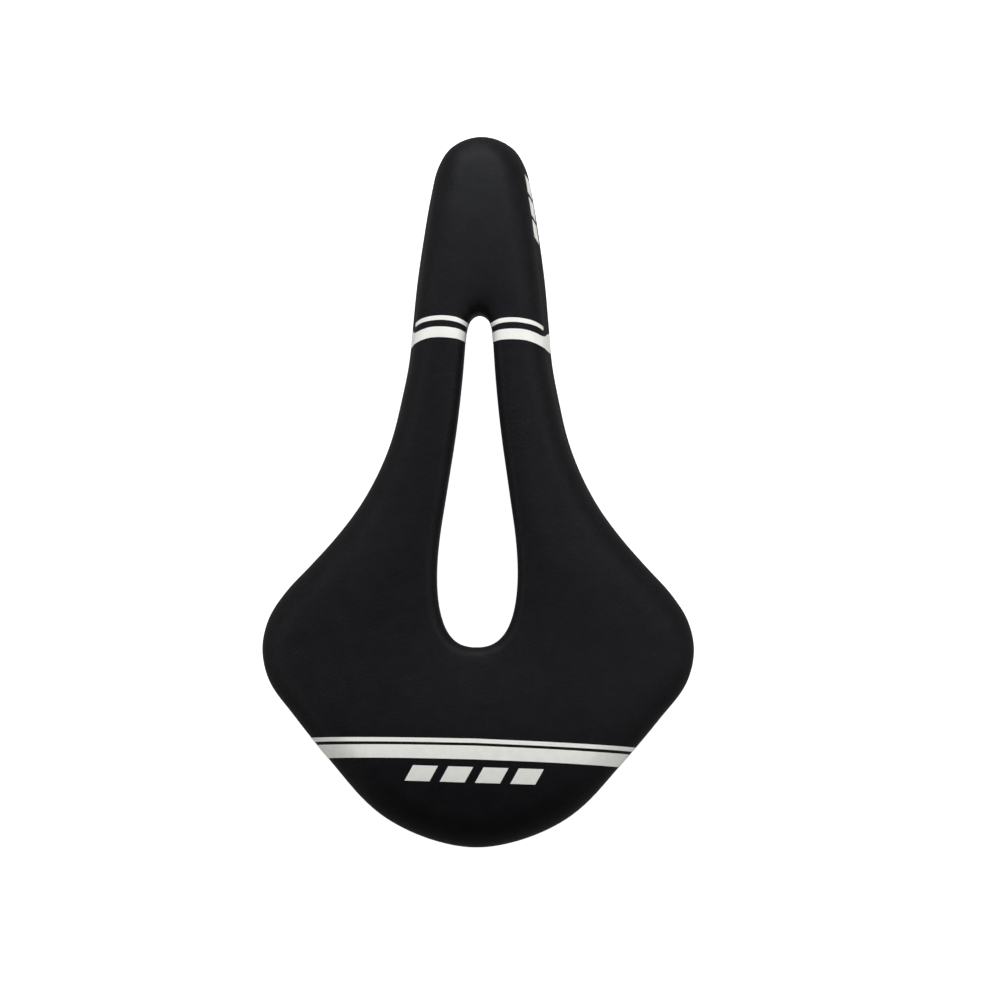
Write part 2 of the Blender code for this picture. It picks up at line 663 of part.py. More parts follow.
# Stripes in plan, from the middle outwards: x, front edge, rear edge. The front ones start inside the
# cut-out, so that they run down its wall. The wide one also runs down the side, and the thin one stops
# short of it.
FRONT_THIN = ((2.5, 57.8, 56.2), (5.3, 59.1, 57.5), (8.0, 60.1, 58.4), (12.5, 60.5, 58.9),
              (17.0, 60.2, 58.6), (20.5, 59.5, 58.0), (22.9, 58.5, 57.1))
FRONT_WIDE = ((2.5, 54.0, 50.6), (5.3, 55.3, 51.8), (8.0, 56.1, 52.4), (12.5, 56.5, 52.7),
              (17.0, 56.3, 52.5), (20.5, 55.5, 51.7), (22.2, 55.0, 51.1), (30.0, 55.2, 49.4))
REAR_THIN = ((0.0, -89.5, -91.0), (28.0, -89.9, -91.4), (50.0, -90.5, -92.0), (66.0, -91.2, -92.7))
REAR_WIDE = ((0.0, -92.0, -96.8), (28.0, -92.4, -97.1), (50.0, -93.1, -97.8), (66.0, -93.8, -98.6))
FILM_LOW, FILM_HIGH = 20.0, 70.0

# A row of slanted bars in place of lettering at the tail, and one on the right side of the nose
# The print sits askew: the stripes and tail bars fall back by this much for each millimetre to the right
PRINT_SKEW = 0.024
TAIL_BARS, TAIL_BAR_PITCH, TAIL_BAR_WIDTH, TAIL_BAR_SLANT = 4, 12.4, 8.8, 3.0
TAIL_BAR_FRONT, TAIL_BAR_REAR = -99.5, -105.0
SIDE_BARS, SIDE_BAR_PITCH, SIDE_BAR_LENGTH, SIDE_BAR_SLANT = 3, 8.1, 6.5, 1.8
SIDE_BAR_START, SIDE_BAR_LOW, SIDE_BAR_HIGH = 113.4, 28.0, 34.8


def make_film(name, cutter, skin, parts, finish):
    """The part of the film's sheet that lies inside a cutter."""
    film = add_object(name, skin.copy(), parts, finish)
    add_mirror(film)
    add_solidify(film, FILM_THICKNESS, 1.0)
    add_boolean(film, cutter, "INTERSECT")


def half_band(stripe, side):
    """Outline of a stripe on one side."""
    front = [(x * side, y) for x, y, _ in stripe]
    rear = [(x * side, y) for x, _, y in stripe]
    return front + rear[::-1]


def whole_band(stripe):
    """Outline of a stripe that crosses the middle."""
    front = [(-x, y) for x, y, _ in reversed(stripe[1:])] + [(x, y) for x, y, _ in stripe]
    rear = [(-x, y) for x, _, y in reversed(stripe[1:])] + [(x, y) for x, _, y in stripe]
    return front + rear[::-1]


def slanted(low, high, front, rear, slant):
    """A parallelogram: low and high along one axis, front and rear along the other, leaning by slant."""
    return ((low + slant, front), (high + slant, front), (high, rear), (low, rear))


def make_films(parts, tools, finish):
    skin = ray_sheet("film_sheet", film_section)
    outlines = [("rear_thin_stripe", whole_band(REAR_THIN)), ("rear_wide_stripe", whole_band(REAR_WIDE))]
    for side, word in ((1, "right"), (-1, "left")):
        outlines.append((f"front_thin_stripe_{word}", half_band(FRONT_THIN, side)))
        outlines.append((f"front_wide_stripe_{word}", half_band(FRONT_WIDE, side)))
    for k in range(TAIL_BARS):
        left = (k - (TAIL_BARS - 1) / 2) * TAIL_BAR_PITCH - (TAIL_BAR_WIDTH + TAIL_BAR_SLANT) / 2
        bar = slanted(left, left + TAIL_BAR_WIDTH, TAIL_BAR_FRONT, TAIL_BAR_REAR, TAIL_BAR_SLANT)
        outlines.append((f"tail_bar_{k + 1}", bar))
    for name, outline in outlines:
        skewed = [(x, y - PRINT_SKEW * x) for x, y in outline]
        cutter = prism("cut_" + name, skewed, FILM_LOW, FILM_HIGH, tools)
        make_film(name, cutter, skin, parts, finish)
    for k in range(SIDE_BARS):
        rear = SIDE_BAR_START - k * SIDE_BAR_PITCH - SIDE_BAR_LENGTH - SIDE_BAR_SLANT
        bar = slanted(rear, rear + SIDE_BAR_LENGTH, SIDE_BAR_HIGH, SIDE_BAR_LOW, SIDE_BAR_SLANT)
        cutter = prism(f"cut_nose_side_bar_{k + 1}", bar, 0.0, HALF_WIDTH, tools, axis="X")
        make_film(f"nose_side_bar_{k + 1}", cutter, skin, parts, finish)


# ---------------------------------------------------------------- the saddle

def main():
    clear_scene()
    parts = new_collection("bicycle_saddle")
    tools = new_collection("cutters")
    skin = material("microfibre", (0.018, 0.018, 0.019), 0.55)
    foam = material("foam", (0.32, 0.31, 0.29), 0.95)
    nylon = material("nylon", (0.012, 0.012, 0.013), 0.42)
    steel = material("rail_steel", (0.03, 0.03, 0.032), 0.35, 0.6)
    rubber = material("rubber", (0.015, 0.015, 0.015), 0.85)
    screw = material("screw_steel", (0.10, 0.10, 0.105), 0.3, 1.0)
    brass = material("brass", (0.62, 0.45, 0.18), 0.35, 1.0)
    film = material("film", (0.82, 0.82, 0.79), 0.4)

    make_cover(parts, skin)
    make_foam(parts, foam)
    make_shell(parts, tools, nylon)
    make_rail_bow(parts, steel)
    make_nose_clip(parts, tools, nylon, bpy.data.objects["bow_groove"])
    make_screw(parts, tools, screw)
    make_insert(parts, brass)
    make_sleeve("rail_sleeve_right", 1, parts, rubber)
    make_sleeve("rail_sleeve_left", -1, parts, rubber)
    make_films(parts, tools, film)


main()
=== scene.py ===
"""Looks of a short racing bicycle saddle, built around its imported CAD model.

Frame: +Y towards the nose, +X to the rider's right, +Z up, with the rails' undersides at z = 0.
Lengths in the tables are millimetres; MM turns them into the scene's metres.
"""
from math import cos, exp, pi, radians, sin

import bmesh
import bpy
import numpy as np
from mathutils import Matrix, Vector, noise


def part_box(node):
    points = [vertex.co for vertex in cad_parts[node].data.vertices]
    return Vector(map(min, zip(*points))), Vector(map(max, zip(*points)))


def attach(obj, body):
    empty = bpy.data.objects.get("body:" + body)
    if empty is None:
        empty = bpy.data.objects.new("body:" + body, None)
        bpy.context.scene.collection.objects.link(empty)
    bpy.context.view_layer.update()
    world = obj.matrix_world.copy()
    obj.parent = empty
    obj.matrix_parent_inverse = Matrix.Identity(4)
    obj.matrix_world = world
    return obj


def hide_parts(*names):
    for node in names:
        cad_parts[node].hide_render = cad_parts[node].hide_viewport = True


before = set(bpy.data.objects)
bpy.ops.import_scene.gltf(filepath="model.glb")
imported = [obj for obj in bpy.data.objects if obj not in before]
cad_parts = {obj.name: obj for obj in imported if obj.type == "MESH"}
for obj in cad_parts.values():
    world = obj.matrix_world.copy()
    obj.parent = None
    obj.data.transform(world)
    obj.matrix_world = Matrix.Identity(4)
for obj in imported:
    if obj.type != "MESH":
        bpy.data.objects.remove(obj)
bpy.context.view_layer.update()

MM = 0.001

# ------------ dimensions: the CAD model's, and those of the dip

HALF_WIDTH, HALF_LENGTH = 155.0 / 2, 256.0 / 2
RAIL_RADIUS = 3.5
RAIL_SPACING = 44.0
CLAMP_REAR, CLAMP_FRONT = -40.0, 38.0
COVER_THICKNESS, FOAM_SIDE, SHELL_THICKNESS = 1.2, 1.9, 2.4
PADDING_DEPTH = 9.5
GAP = 0.3
HEM_OUTER, HEM_INNER = 4.0, 2.6
FOLD_RADIUS = 1.4
LEAST_EDGE = 2.5
FOAM_IN = COVER_THICKNESS + 1.5 * GAP
SHELL_IN = FOAM_IN + FOAM_SIDE + GAP
HEM_IN = SHELL_IN + SHELL_THICKNESS + GAP + COVER_THICKNESS
RIM_LIFT = COVER_THICKNESS + 3 * GAP

# Rays across the right half of the pad, from nose to tail: a point (x, y) on the cut-out's edge, and
# the point on the outline that it faces.
CUTOUT_HALF_WIDTH = 14.4
CUTOUT_FRONT, CUTOUT_REAR = 62.2, -57.0
RAYS = (
    ((0.0, CUTOUT_FRONT), (0.0, HALF_LENGTH)),
    ((1.3, 61.9), (6.2, 126.8)),
    ((2.4, 61.2), (11.9, 123.3)),
    ((3.3, 60.2), (15.7, 117.3)),
    ((4.0, 58.6), (18.4, 106.5)),
    ((4.5, 56.6), (21.0, 91.0)),
    ((4.9, 54.0), (23.2, 75.0)),
    ((5.2, 50.0), (24.6, 60.0)),
    ((5.7, 43.0), (25.9, 46.0)),
    ((6.7, 32.0), (28.6, 32.0)),
    ((8.2, 19.0), (32.0, 18.0)),
    ((10.1, 6.0), (36.9, 5.5)),
    ((11.9, -6.0), (43.2, -6.0)),
    ((13.5, -17.0), (51.5, -17.2)),
    ((14.3, -26.0), (60.6, -27.5)),
    ((CUTOUT_HALF_WIDTH, -33.5), (69.3, -37.0)),
    ((13.9, -40.0), (75.3, -46.5)),
    ((12.7, -46.0), (HALF_WIDTH, -57.0)),
    ((10.8, -50.8), (75.0, -68.5)),
    ((8.2, -54.2), (65.8, -81.0)),
    ((5.5, -56.0), (52.0, -97.6)),
    ((2.9, -56.8), (34.0, -116.5)),
    ((1.3, -57.0), (17.0, -124.9)),
    ((0.0, CUTOUT_REAR), (0.0, -HALF_LENGTH)),
)
INTERVALS = len(RAYS) - 1

# Stations along the saddle: y, height of the crown, drop at the edge, half-width where that drop
# is reached, height of the outer rim, lean of the side wall, edge radius across and down, and depth
# and half-width of the shallow channel along the middle.
STATIONS = (
    (130.0, 43.0, 3.0, 22.0, 26.5, 0.10, 10.0, 12.5, 0.2, 14.0),
    (112.0, 47.4, 2.6, 21.0, 24.6, 0.13, 9.5, 12.0, 0.7, 14.0),
    (90.0, 49.6, 2.6, 21.0, 22.8, 0.14, 8.5, 11.5, 1.1, 14.5),
    (60.0, 50.2, 3.2, 24.6, 21.8, 0.12, 8.0, 11.5, 1.8, 15.0),
    (25.0, 50.0, 4.6, 30.0, 21.8, 0.09, 8.0, 12.0, 2.1, 17.0),
    (-10.0, 50.2, 7.0, 46.0, 22.8, 0.06, 9.5, 12.5, 2.1, 22.0),
    (-40.0, 51.2, 9.4, 72.0, 24.2, 0.03, 11.0, 13.0, 1.8, 29.0),
    (-60.0, 52.9, 10.2, 77.5, 25.6, 0.03, 11.0, 13.0, 1.0, 32.0),
    (-80.0, 55.6, 10.0, 77.0, 29.2, 0.03, 11.0, 12.5, 0.3, 34.0),
    (-93.0, 57.0, 9.5, 74.0, 31.4, 0.03, 11.0, 12.2, 0.0, 34.0),
    (-106.0, 56.8, 9.0, 72.0, 32.6, 0.03, 11.0, 12.0, 0.0, 34.0),
    (-118.0, 55.0, 8.5, 70.0, 33.2, 0.03, 11.0, 11.8, 0.0, 34.0),
    (-130.0, 52.2, 8.0, 68.0, 33.6, 0.03, 11.0, 11.5, 0.0, 34.0),
)
CROWN, DROP, DROP_AT, RIM, LEAN, EDGE_ACROSS, EDGE_DOWN, CHANNEL, CHANNEL_AT = range(1, 10)
DROP_POWER = 2.3
CUTOUT_ACROSS, CUTOUT_DOWN = 4.0, 5.5
CUTOUT_RIM_FRONT, CUTOUT_RIM_REAR = 32.5, 36.0

# The pad's dip in front of the cut-out, which the CAD model leaves out
DIP_DEPTH, DIP_WIDTH, DIP_LENGTH, DIP_Y = 1.1, 8.0, 5.5, 62.0

# Rails, sockets and nose clip
NOSE_BEND_RADIUS, NOSE_BEND_Y, NOSE_BEND_Z = 7.5, 81.5, 23.85
NOSE_STRAIGHT_Y = 73.0
SOCKET_MOUTH = Vector((30.0, -77.0, 31.6))
SOCKET_AXIS = Vector((3.5, -23.0, 5.4)).normalized()
RAIL_IN_SOCKET = 19.0
BEND_HANDLE = 16.0
SLEEVE_WALL, SLEEVE_LENGTH = 1.5, 16.0
SLEEVE_FLANGE_RADIUS, SLEEVE_FLANGE, SLEEVE_FLANGE_SEAT = 7.2, 1.8, 0.7
SOCKET_RADIUS, SOCKET_END_RADIUS, SOCKET_LENGTH = 8.2, 7.0, 22.0
CLIP_HALF_WIDTH, CLIP_FRONT, CLIP_REAR = 12.2, 96.0, 71.0
CLIP_BOTTOM, PARTING_Z = 17.0, NOSE_BEND_Z
CLIP_CORNER = 5.0
NOSE_BOSS_TOP = 38.2
SCREW_Y = 80.5
SCREW_RADIUS, SCREW_HEAD_RADIUS, SCREW_HEAD = 2.5, 4.2, 2.4
SCREW_CLEARANCE = 0.4
SCREW_SEAT_Z, SCREW_TIP_Z = 19.6, 34.0
SCREW_SOCKET_RADIUS, SCREW_SOCKET_DEPTH = 1.75, 1.5
INSERT_RADIUS, INSERT_BOTTOM, INSERT_TOP = 3.5, 28.3, 35.0


# ------------ curves and surfaces

def quarter(steps):
    """Angles of a quarter turn."""
    return [pi / 2 * k / steps for k in range(steps + 1)]


def hermite(p0, p1, m0, m1, t):
    """A point on the cubic from p0 to p1 with end slopes m0 and m1."""
    t2, t3 = t * t, t * t * t
    return (2 * t3 - 3 * t2 + 1) * p0 + (t3 - 2 * t2 + t) * m0 + (3 * t2 - 2 * t3) * p1 + (t3 - t2) * m1


def at_station(y, column):
    """One column of STATIONS at y, on a smooth curve through the stations."""
    last = len(STATIONS) - 1
    i = 0
    while i < last - 1 and y < STATIONS[i + 1][0]:
        i += 1

    def slope(k):
        before, after = STATIONS[max(k - 1, 0)], STATIONS[min(k + 1, last)]
        return (after[column] - before[column]) / (after[0] - before[0])

    here, there = STATIONS[i], STATIONS[i + 1]
    span = there[0] - here[0]
    t = min(max((y - here[0]) / span, 0.0), 1.0)
    return hermite(here[column], there[column], slope(i) * span, slope(i + 1) * span, t)


def mirrored(p):
    return Vector((-p.x, *p[1:]))


EDGES = [[Vector(ray[side]) for ray in RAYS] for side in (0, 1)]


def on_edge(side, u):
    """(point, unit tangent) at share u of the way from nose to tail: side 0 cut-out, side 1 outline."""
    points = EDGES[side]
    last = INTERVALS
    i = min(int(u * last), last - 1)
    t = u * last - i
    before = points[i - 1] if i > 0 else mirrored(points[1])
    after = points[i + 2] if i + 2 <= last else mirrored(points[last - 1])
    a, b = points[i], points[i + 1]
    d0, d1, d2 = ((q - p).length for p, q in ((before, a), (a, b), (b, after)))
    m0 = ((a - before) / d0 * d1 + (b - a) / d1 * d0) / (d0 + d1) * d1
    m1 = ((b - a) / d1 * d2 + (after - b) / d2 * d1) / (d1 + d2) * d1
    point = hermite(a, b, m0, m1, t)
    step = 1e-3
    t_low, t_high = max(t - step, 0.0), min(t + step, 1.0)
    tangent = (hermite(a, b, m0, m1, t_high) - hermite(a, b, m0, m1, t_low)).normalized()
    if u in (0.0, 1.0):
        point.x = 0.0
        tangent = Vector((1.0 if u == 0.0 else -1.0, 0.0))
    return point, tangent


def inset_point(side, u, inset):
    """A point in plan, inset into the padding from the cut-out's edge or from the outline."""
    point, tangent = on_edge(side, u)
    left = Vector((-tangent.y, tangent.x))
    return point + left * (inset if side == 0 else -inset)


def top_height(x, y):
    """Height of the skin's top at a point in plan, before the edges are rounded."""
    drop = at_station(y, DROP) * (abs(x) / at_station(y, DROP_AT)) ** DROP_POWER
    share = min(abs(x) / at_station(y, CHANNEL_AT), 1.0)
    channel = at_station(y, CHANNEL) * cos(pi / 2 * share) ** 2
    dip = DIP_DEPTH * exp(-(x / DIP_WIDTH) ** 2 - ((y - DIP_Y) / DIP_LENGTH) ** 2)
    return at_station(y, CROWN) - drop - channel - dip


def on_top(p, depth=0.0):
    """The point over or under p that lies at a depth below the skin's top."""
    return Vector((p.x, p.y, top_height(p.x, p.y) - depth))


def outer_rim(u):
    return at_station(on_edge(1, u)[0].y, RIM)


def cutout_rim(u):
    y = on_edge(0, u)[0].y
    share = (CUTOUT_FRONT - y) / (CUTOUT_FRONT - CUTOUT_REAR)
    return CUTOUT_RIM_FRONT + (CUTOUT_RIM_REAR - CUTOUT_RIM_FRONT) * share ** 2


def rim_at(side, u):
    return outer_rim(u) if side == 1 else cutout_rim(u)


def wall_point(side, u, inset, z):
    """A point on a side wall, which leans in towards its top along the outline."""
    lean = 0.0
    if side == 1:
        lean = at_station(on_edge(1, u)[0].y, LEAN) * max(z - outer_rim(u) - FOLD_RADIUS, 0.0)
    p = inset_point(side, u, inset + lean)
    return Vector((p.x, p.y, z))


def edge_arc(side, u, inset, depth, steps):
    """The rounded edge from the wall up to the top, for a layer inset from the side and sunk by depth."""
    y = on_edge(1, u)[0].y
    across = at_station(y, EDGE_ACROSS) if side == 1 else CUTOUT_ACROSS
    down = at_station(y, EDGE_DOWN) if side == 1 else CUTOUT_DOWN
    across, down = max(across - inset, LEAST_EDGE), max(down - depth, LEAST_EDGE)
    wall_top = on_top(inset_point(side, u, inset + across), depth + down).z
    foot = wall_point(side, u, inset, wall_top)
    lean = (Vector((foot.x, foot.y)) - inset_point(side, u, inset)).length
    arc = []
    for angle in quarter(steps):
        p = inset_point(side, u, inset + lean + across * (1 - cos(angle)))
        arc.append(on_top(p, depth + down * (1 - sin(angle))))
    return arc


# ------------ meshes and modifiers

saddle = bpy.data.collections.new("saddle_looks")
bpy.context.scene.collection.children.link(saddle)


def add_object(name, data):
    obj = bpy.data.objects.new(name, data)
    saddle.objects.link(obj)
    return obj


def bake(obj):
    """Puts the object's evaluated mesh in place of its own, with its modifiers applied."""
    graph = bpy.context.evaluated_depsgraph_get()
    mesh = bpy.data.meshes.new_from_object(obj.evaluated_get(graph))
    mesh.name = obj.name
    obj.modifiers.clear()
    obj.data = mesh


def add_solidify(obj, thickness, offset):
    modifier = obj.modifiers.new("thickness", "SOLIDIFY")
    modifier.thickness = thickness * MM
    modifier.offset = offset
    modifier.use_even_offset = True


def combine(obj, others, operation, solver="MANIFOLD"):
    """Joins the other objects to this one, cuts them from it or keeps what is in them, and removes them."""
    for other in others:
        modifier = obj.modifiers.new(operation.lower(), "BOOLEAN")
        modifier.operation = operation
        modifier.solver = solver
        modifier.object = other
    bake(obj)
    for other in others:
        bpy.data.objects.remove(other, do_unlink=True)


def dress(obj, finish):
    """Gives an object one material in place of what it has, such as the empty slot that a cutter leaves."""
    obj.data.materials.clear()
    obj.data.materials.append(finish)


def finish_piece(obj, finish, node, sharp_from=35):
    """Every piece gets its finish, rides on the saddle's one body and stands for a CAD node. Its edges
    are shaded sharp from the angle given, in degrees."""
    dress(obj, finish)
    obj.data.shade_smooth()
    obj.data.set_sharp_from_angle(angle=radians(sharp_from))
    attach(obj, "root")
    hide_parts(node)


def faceted(name, rows, faces):
    """A mesh of faces over rows of points."""
    mesh = bpy.data.meshes.new(name)
    mesh.from_pydata([tuple(p * MM) for row in rows for p in row], [], faces)
    return mesh


def from_bmesh(name, bm):
    """A mesh of the bmesh, which is freed."""
    mesh = bpy.data.meshes.new(name)
    bm.to_mesh(mesh)
    bm.free()
    return mesh


def outward(mesh):
    """The same mesh with its doubled points merged and its faces turned outwards."""
    bm = bmesh.new()
    bm.from_mesh(mesh)
    bmesh.ops.remove_doubles(bm, verts=bm.verts, dist=1e-6)
    bmesh.ops.recalc_face_normals(bm, faces=bm.faces)
    bm.to_mesh(mesh)
    bm.free()
    return mesh


def loft(name, rows, closed_columns=False):
    """A sheet through rows of points, where the last row joins on to the first."""
    rays, columns = len(rows), len(rows[0])
    faces = []
    for i in range(rays):
        ahead = (i + 1) % rays
        for j in range(columns if closed_columns else columns - 1):
            side = (j + 1) % columns
            faces.append((i * columns + j, ahead * columns + j, ahead * columns + side, i * columns + side))
    return faceted(name, rows, faces)


def solid(name, rows):
    """A closed body through rings of points, with a cap on its first and its last ring."""
    count = len(rows[0])
    faces = [tuple(range(count)), tuple(range((len(rows) - 1) * count, len(rows) * count))]
    for i in range(len(rows) - 1):
        for j in range(count):
            side = (j + 1) % count
            faces.append((i * count + j, i * count + side, (i + 1) * count + side, (i + 1) * count + j))
    return add_object(name, outward(faceted(name, rows, faces)))


def spokes(axis, count):
    """Unit vectors right round an axis."""
    axis = Vector(axis).normalized()
    across = Vector((1, 0, 0))
    across = (across - axis * across.dot(axis)).normalized()
    up = axis.cross(across)
    turns = [2 * pi * k / count for k in range(count)]
    return [across * cos(a) + up * sin(a) for a in turns]


def turned(name, profile, origin=(0, SCREW_Y, 0), axis=(0, 0, 1), sides=64):
    """A body turned about an axis, by default the clip screw's. The profile holds (radius, distance along
    the axis) pairs, either from the axis back to the axis or right round a ring."""
    origin, axis = Vector(origin), Vector(axis).normalized()
    rows = [[origin + out * radius + axis * run for radius, run in profile] for out in spokes(axis, sides)]
    return add_object(name, outward(loft(name, rows, closed_columns=profile[0][0] > 0)))


def tube(name, points, radius, sides=32):
    """A round bar along points."""
    rows = []
    for i, p in enumerate(points):
        ahead = points[min(i + 1, len(points) - 1)] - points[max(i - 1, 0)]
        rows.append([p + out * radius for out in spokes(ahead, sides)])
    return solid(name, rows)


def ring_rows(section, strips):
    """Rows of a sheet right round the cut-out: the right half's rays, then their mirror images."""
    right = [section(k / (strips * INTERVALS)) for k in range(strips * INTERVALS + 1)]
    for row in (right[0], right[-1]):
        for p in row:
            p.x = 0.0
    return right + [[mirrored(p) for p in row] for row in reversed(right[1:-1])]


# ------------ materials

def fill(node, values):
    """Sets a node's inputs by name or by number."""
    for name, value in values.items():
        node.inputs[name].default_value = value


def principled(name, colour, roughness, metallic=0.0, specular=0.5):
    """(material, its Principled shader) for a uniform look."""
    made = bpy.data.materials.new(name)
    made.use_nodes = True
    shader = made.node_tree.nodes["Principled BSDF"]
    fill(shader, {"Base Color": (*colour, 1.0), "Roughness": roughness, "Metallic": metallic,
                  "Specular IOR Level": specular})
    return made, shader


class Finish:
    """A material whose Principled shader is varied by procedural nodes, with short names for them."""

    def __init__(self, *look, **more):
        self.material, self.shader = principled(*look, **more)
        self.place = self.node("ShaderNodeTexCoord", "Object", {}, {})

    def node(self, kind, output, links, values, **settings):
        """One output of a new node, whose inputs are linked to other outputs or hold plain values."""
        made = self.material.node_tree.nodes.new(kind)
        for key, setting in settings.items():
            setattr(made, key, setting)
        fill(made, values)
        for key, source in links.items():
            self.link(source, made.inputs[key])
        return made.outputs[output]

    def link(self, source, into):
        self.material.node_tree.links.new(source, into)

    def stretched(self, scale):
        """Places scaled along each axis, for marks that run along the axis with the least scale."""
        return self.node("ShaderNodeMapping", "Vector", {"Vector": self.place}, {"Scale": scale})

    def noise(self, size_mm, detail=3.0, roughness=0.5, place=None):
        """Noise whose features are about size_mm across."""
        return self.node("ShaderNodeTexNoise", "Fac", {"Vector": place or self.place},
                         {"Scale": 1.0 / (size_mm * MM), "Detail": detail, "Roughness": roughness})

    def cells(self, size_mm, feature="DISTANCE_TO_EDGE"):
        """Distances within cells about size_mm across."""
        return self.node("ShaderNodeTexVoronoi", "Distance", {"Vector": self.place},
                         {"Scale": 1.0 / (size_mm * MM)}, feature=feature)

    def span(self, value, low, high, to_low=0.0, to_high=1.0):
        """The value, with the range from low to high turned into another."""
        return self.node("ShaderNodeMapRange", "Result", {"Value": value},
                         {"From Min": low, "From Max": high, "To Min": to_low, "To Max": to_high})

    def sum(self, a, b, weight=1.0):
        """a plus b times a weight."""
        return self.node("ShaderNodeMath", 0, {0: b, 2: a}, {1: weight}, operation="MULTIPLY_ADD")

    def vary_colour(self, value, colour_a, colour_b):
        mixed = self.node("ShaderNodeMix", "Result", {"Factor": value},
                          {"A": (*colour_a, 1.0), "B": (*colour_b, 1.0)}, data_type="RGBA")
        self.link(mixed, self.shader.inputs["Base Color"])

    def vary_roughness(self, value, low, high, smoothest, roughest):
        self.link(self.span(value, low, high, smoothest, roughest), self.shader.inputs["Roughness"])

    def bump(self, height, distance_mm, strength):
        normal = self.node("ShaderNodeBump", "Normal", {"Height": height},
                           {"Strength": strength, "Distance": distance_mm * MM})
        self.link(normal, self.shader.inputs["Normal"])


def microfibre():
    """Black polyurethane-coated microfibre: a fine pebbled grain, faint mottling and a soft dull gloss."""
    made = Finish("black_microfibre", (0.0046, 0.0047, 0.0054), 0.42, specular=0.11)
    fill(made.shader, {"Specular Tint": (0.91, 0.93, 1.0, 1.0), "Sheen Weight": 0.006,
                       "Sheen Roughness": 0.6})
    pebbles = made.span(made.cells(0.8), 0.0, 0.32)
    grain = made.sum(pebbles, made.noise(0.16, 2.0), 0.6)
    mottle = made.noise(7.0, 4.0, 0.6)
    tone = made.sum(made.span(mottle, 0.3, 0.7), made.noise(0.4, 2.0), 0.8)
    made.vary_colour(made.span(tone, 0.2, 1.6), (0.0031, 0.0032, 0.0038), (0.0060, 0.0061, 0.0070))
    made.vary_roughness(made.sum(mottle, pebbles, 0.3), 0.2, 1.1, 0.38, 0.47)
    made.bump(grain, 0.08, 0.9)
    return made.material


def transfer_film(name, colour):
    """Off-white heat-transfer film that lets the grain under it show faintly."""
    made = Finish(name, colour, 0.42, specular=0.35)
    grain = made.span(made.cells(0.55), 0.0, 0.32)
    tone = made.noise(3.0, 4.0, 0.6)
    made.vary_colour(made.span(tone, 0.35, 0.65), tuple(c * 0.95 for c in colour), colour)
    made.vary_roughness(tone, 0.3, 0.7, 0.36, 0.48)
    made.bump(grain, 0.02, 0.35)
    return made.material


def foam_rubber():
    """Grey polyurethane foam with open pores, painted darker inside them as shade."""
    made = Finish("grey_foam", (0.20, 0.20, 0.195), 0.95, specular=0.2)
    pore_depth_and_shade = made.span(made.cells(0.9, "F1"), 0.1, 0.6)
    # painted shade: the colour darkens towards each pore's centre, where the bump sinks deepest
    made.vary_colour(pore_depth_and_shade, (0.12, 0.12, 0.115), (0.24, 0.24, 0.23))
    made.bump(made.sum(pore_depth_and_shade, made.noise(0.4)), 0.2, 0.7)
    return made.material


def moulded_nylon():
    """Black glass-filled nylon from a spark-eroded mould: fine matt pitting and faint flow marks."""
    made = Finish("moulded_nylon", (0.014, 0.014, 0.015), 0.5, specular=0.4)
    pits = made.noise(0.35, 4.0, 0.65)
    flow = made.noise(14.0)
    made.vary_colour(made.span(flow, 0.35, 0.65), (0.012, 0.012, 0.013), (0.019, 0.019, 0.020))
    made.vary_roughness(made.sum(flow, pits, 0.5), 0.4, 1.1, 0.42, 0.60)
    made.bump(pits, 0.06, 0.6)
    return made.material


def rail_paint():
    """Satin black coating on the steel rail, with a light orange peel and fine rubbed streaks."""
    made = Finish("satin_rail_paint", (0.016, 0.016, 0.017), 0.32)
    fill(made.shader, {"Coat Weight": 0.25, "Coat Roughness": 0.2})
    peel = made.noise(1.4, 2.0)
    rubs = made.noise(0.5, 3.0, 0.6, made.stretched((1.0, 0.06, 1.0)))
    made.vary_colour(made.span(rubs, 0.45, 0.75), (0.014, 0.014, 0.015), (0.026, 0.026, 0.028))
    made.vary_roughness(made.sum(peel, rubs, 0.6), 0.5, 1.1, 0.26, 0.42)
    made.bump(peel, 0.03, 0.3)
    return made.material


def black_oxide():
    """Blackened steel with fine turning marks."""
    made = Finish("black_oxide_steel", (0.08, 0.08, 0.085), 0.32, metallic=1.0)
    marks = made.noise(0.12, 3.0, 0.6, made.stretched((0.15, 0.15, 1.0)))
    made.vary_colour(marks, (0.06, 0.06, 0.065), (0.12, 0.12, 0.125))
    made.vary_roughness(marks, 0.3, 0.7, 0.24, 0.42)
    made.bump(marks, 0.01, 0.4)
    return made.material


def turned_brass():
    made = Finish("turned_brass", (0.62, 0.44, 0.18), 0.3, metallic=1.0)
    stain = made.noise(1.6, 4.0, 0.6)
    made.vary_colour(made.span(stain, 0.35, 0.7), (0.66, 0.47, 0.19), (0.45, 0.29, 0.10))
    made.vary_roughness(stain, 0.3, 0.7, 0.24, 0.42)
    made.bump(made.noise(0.1, 2.0), 0.01, 0.3)
    return made.material


def rubber():
    made = Finish("black_rubber", (0.016, 0.016, 0.016), 0.8, specular=0.3)
    dust = made.noise(0.7, 5.0, 0.7)
    made.vary_colour(made.span(dust, 0.5, 0.8), (0.014, 0.014, 0.014), (0.035, 0.034, 0.033))
    made.vary_roughness(dust, 0.3, 0.7, 0.72, 0.88)
    made.bump(dust, 0.03, 0.4)
    return made.material


# ------------ cover

# The skin's mesh: strips between two rays, and steps round its section. Its print starts at PRINT_LIFT
# above the rim.
SKIN_STRIPS = 4
FOLD_STEPS, FLAT_STEPS, HEM_STEPS = 3, 3, 2
WALL_STEPS, ARC_STEPS, TOP_STEPS = 3, 8, 10
PRINT_LIFT = 3.0


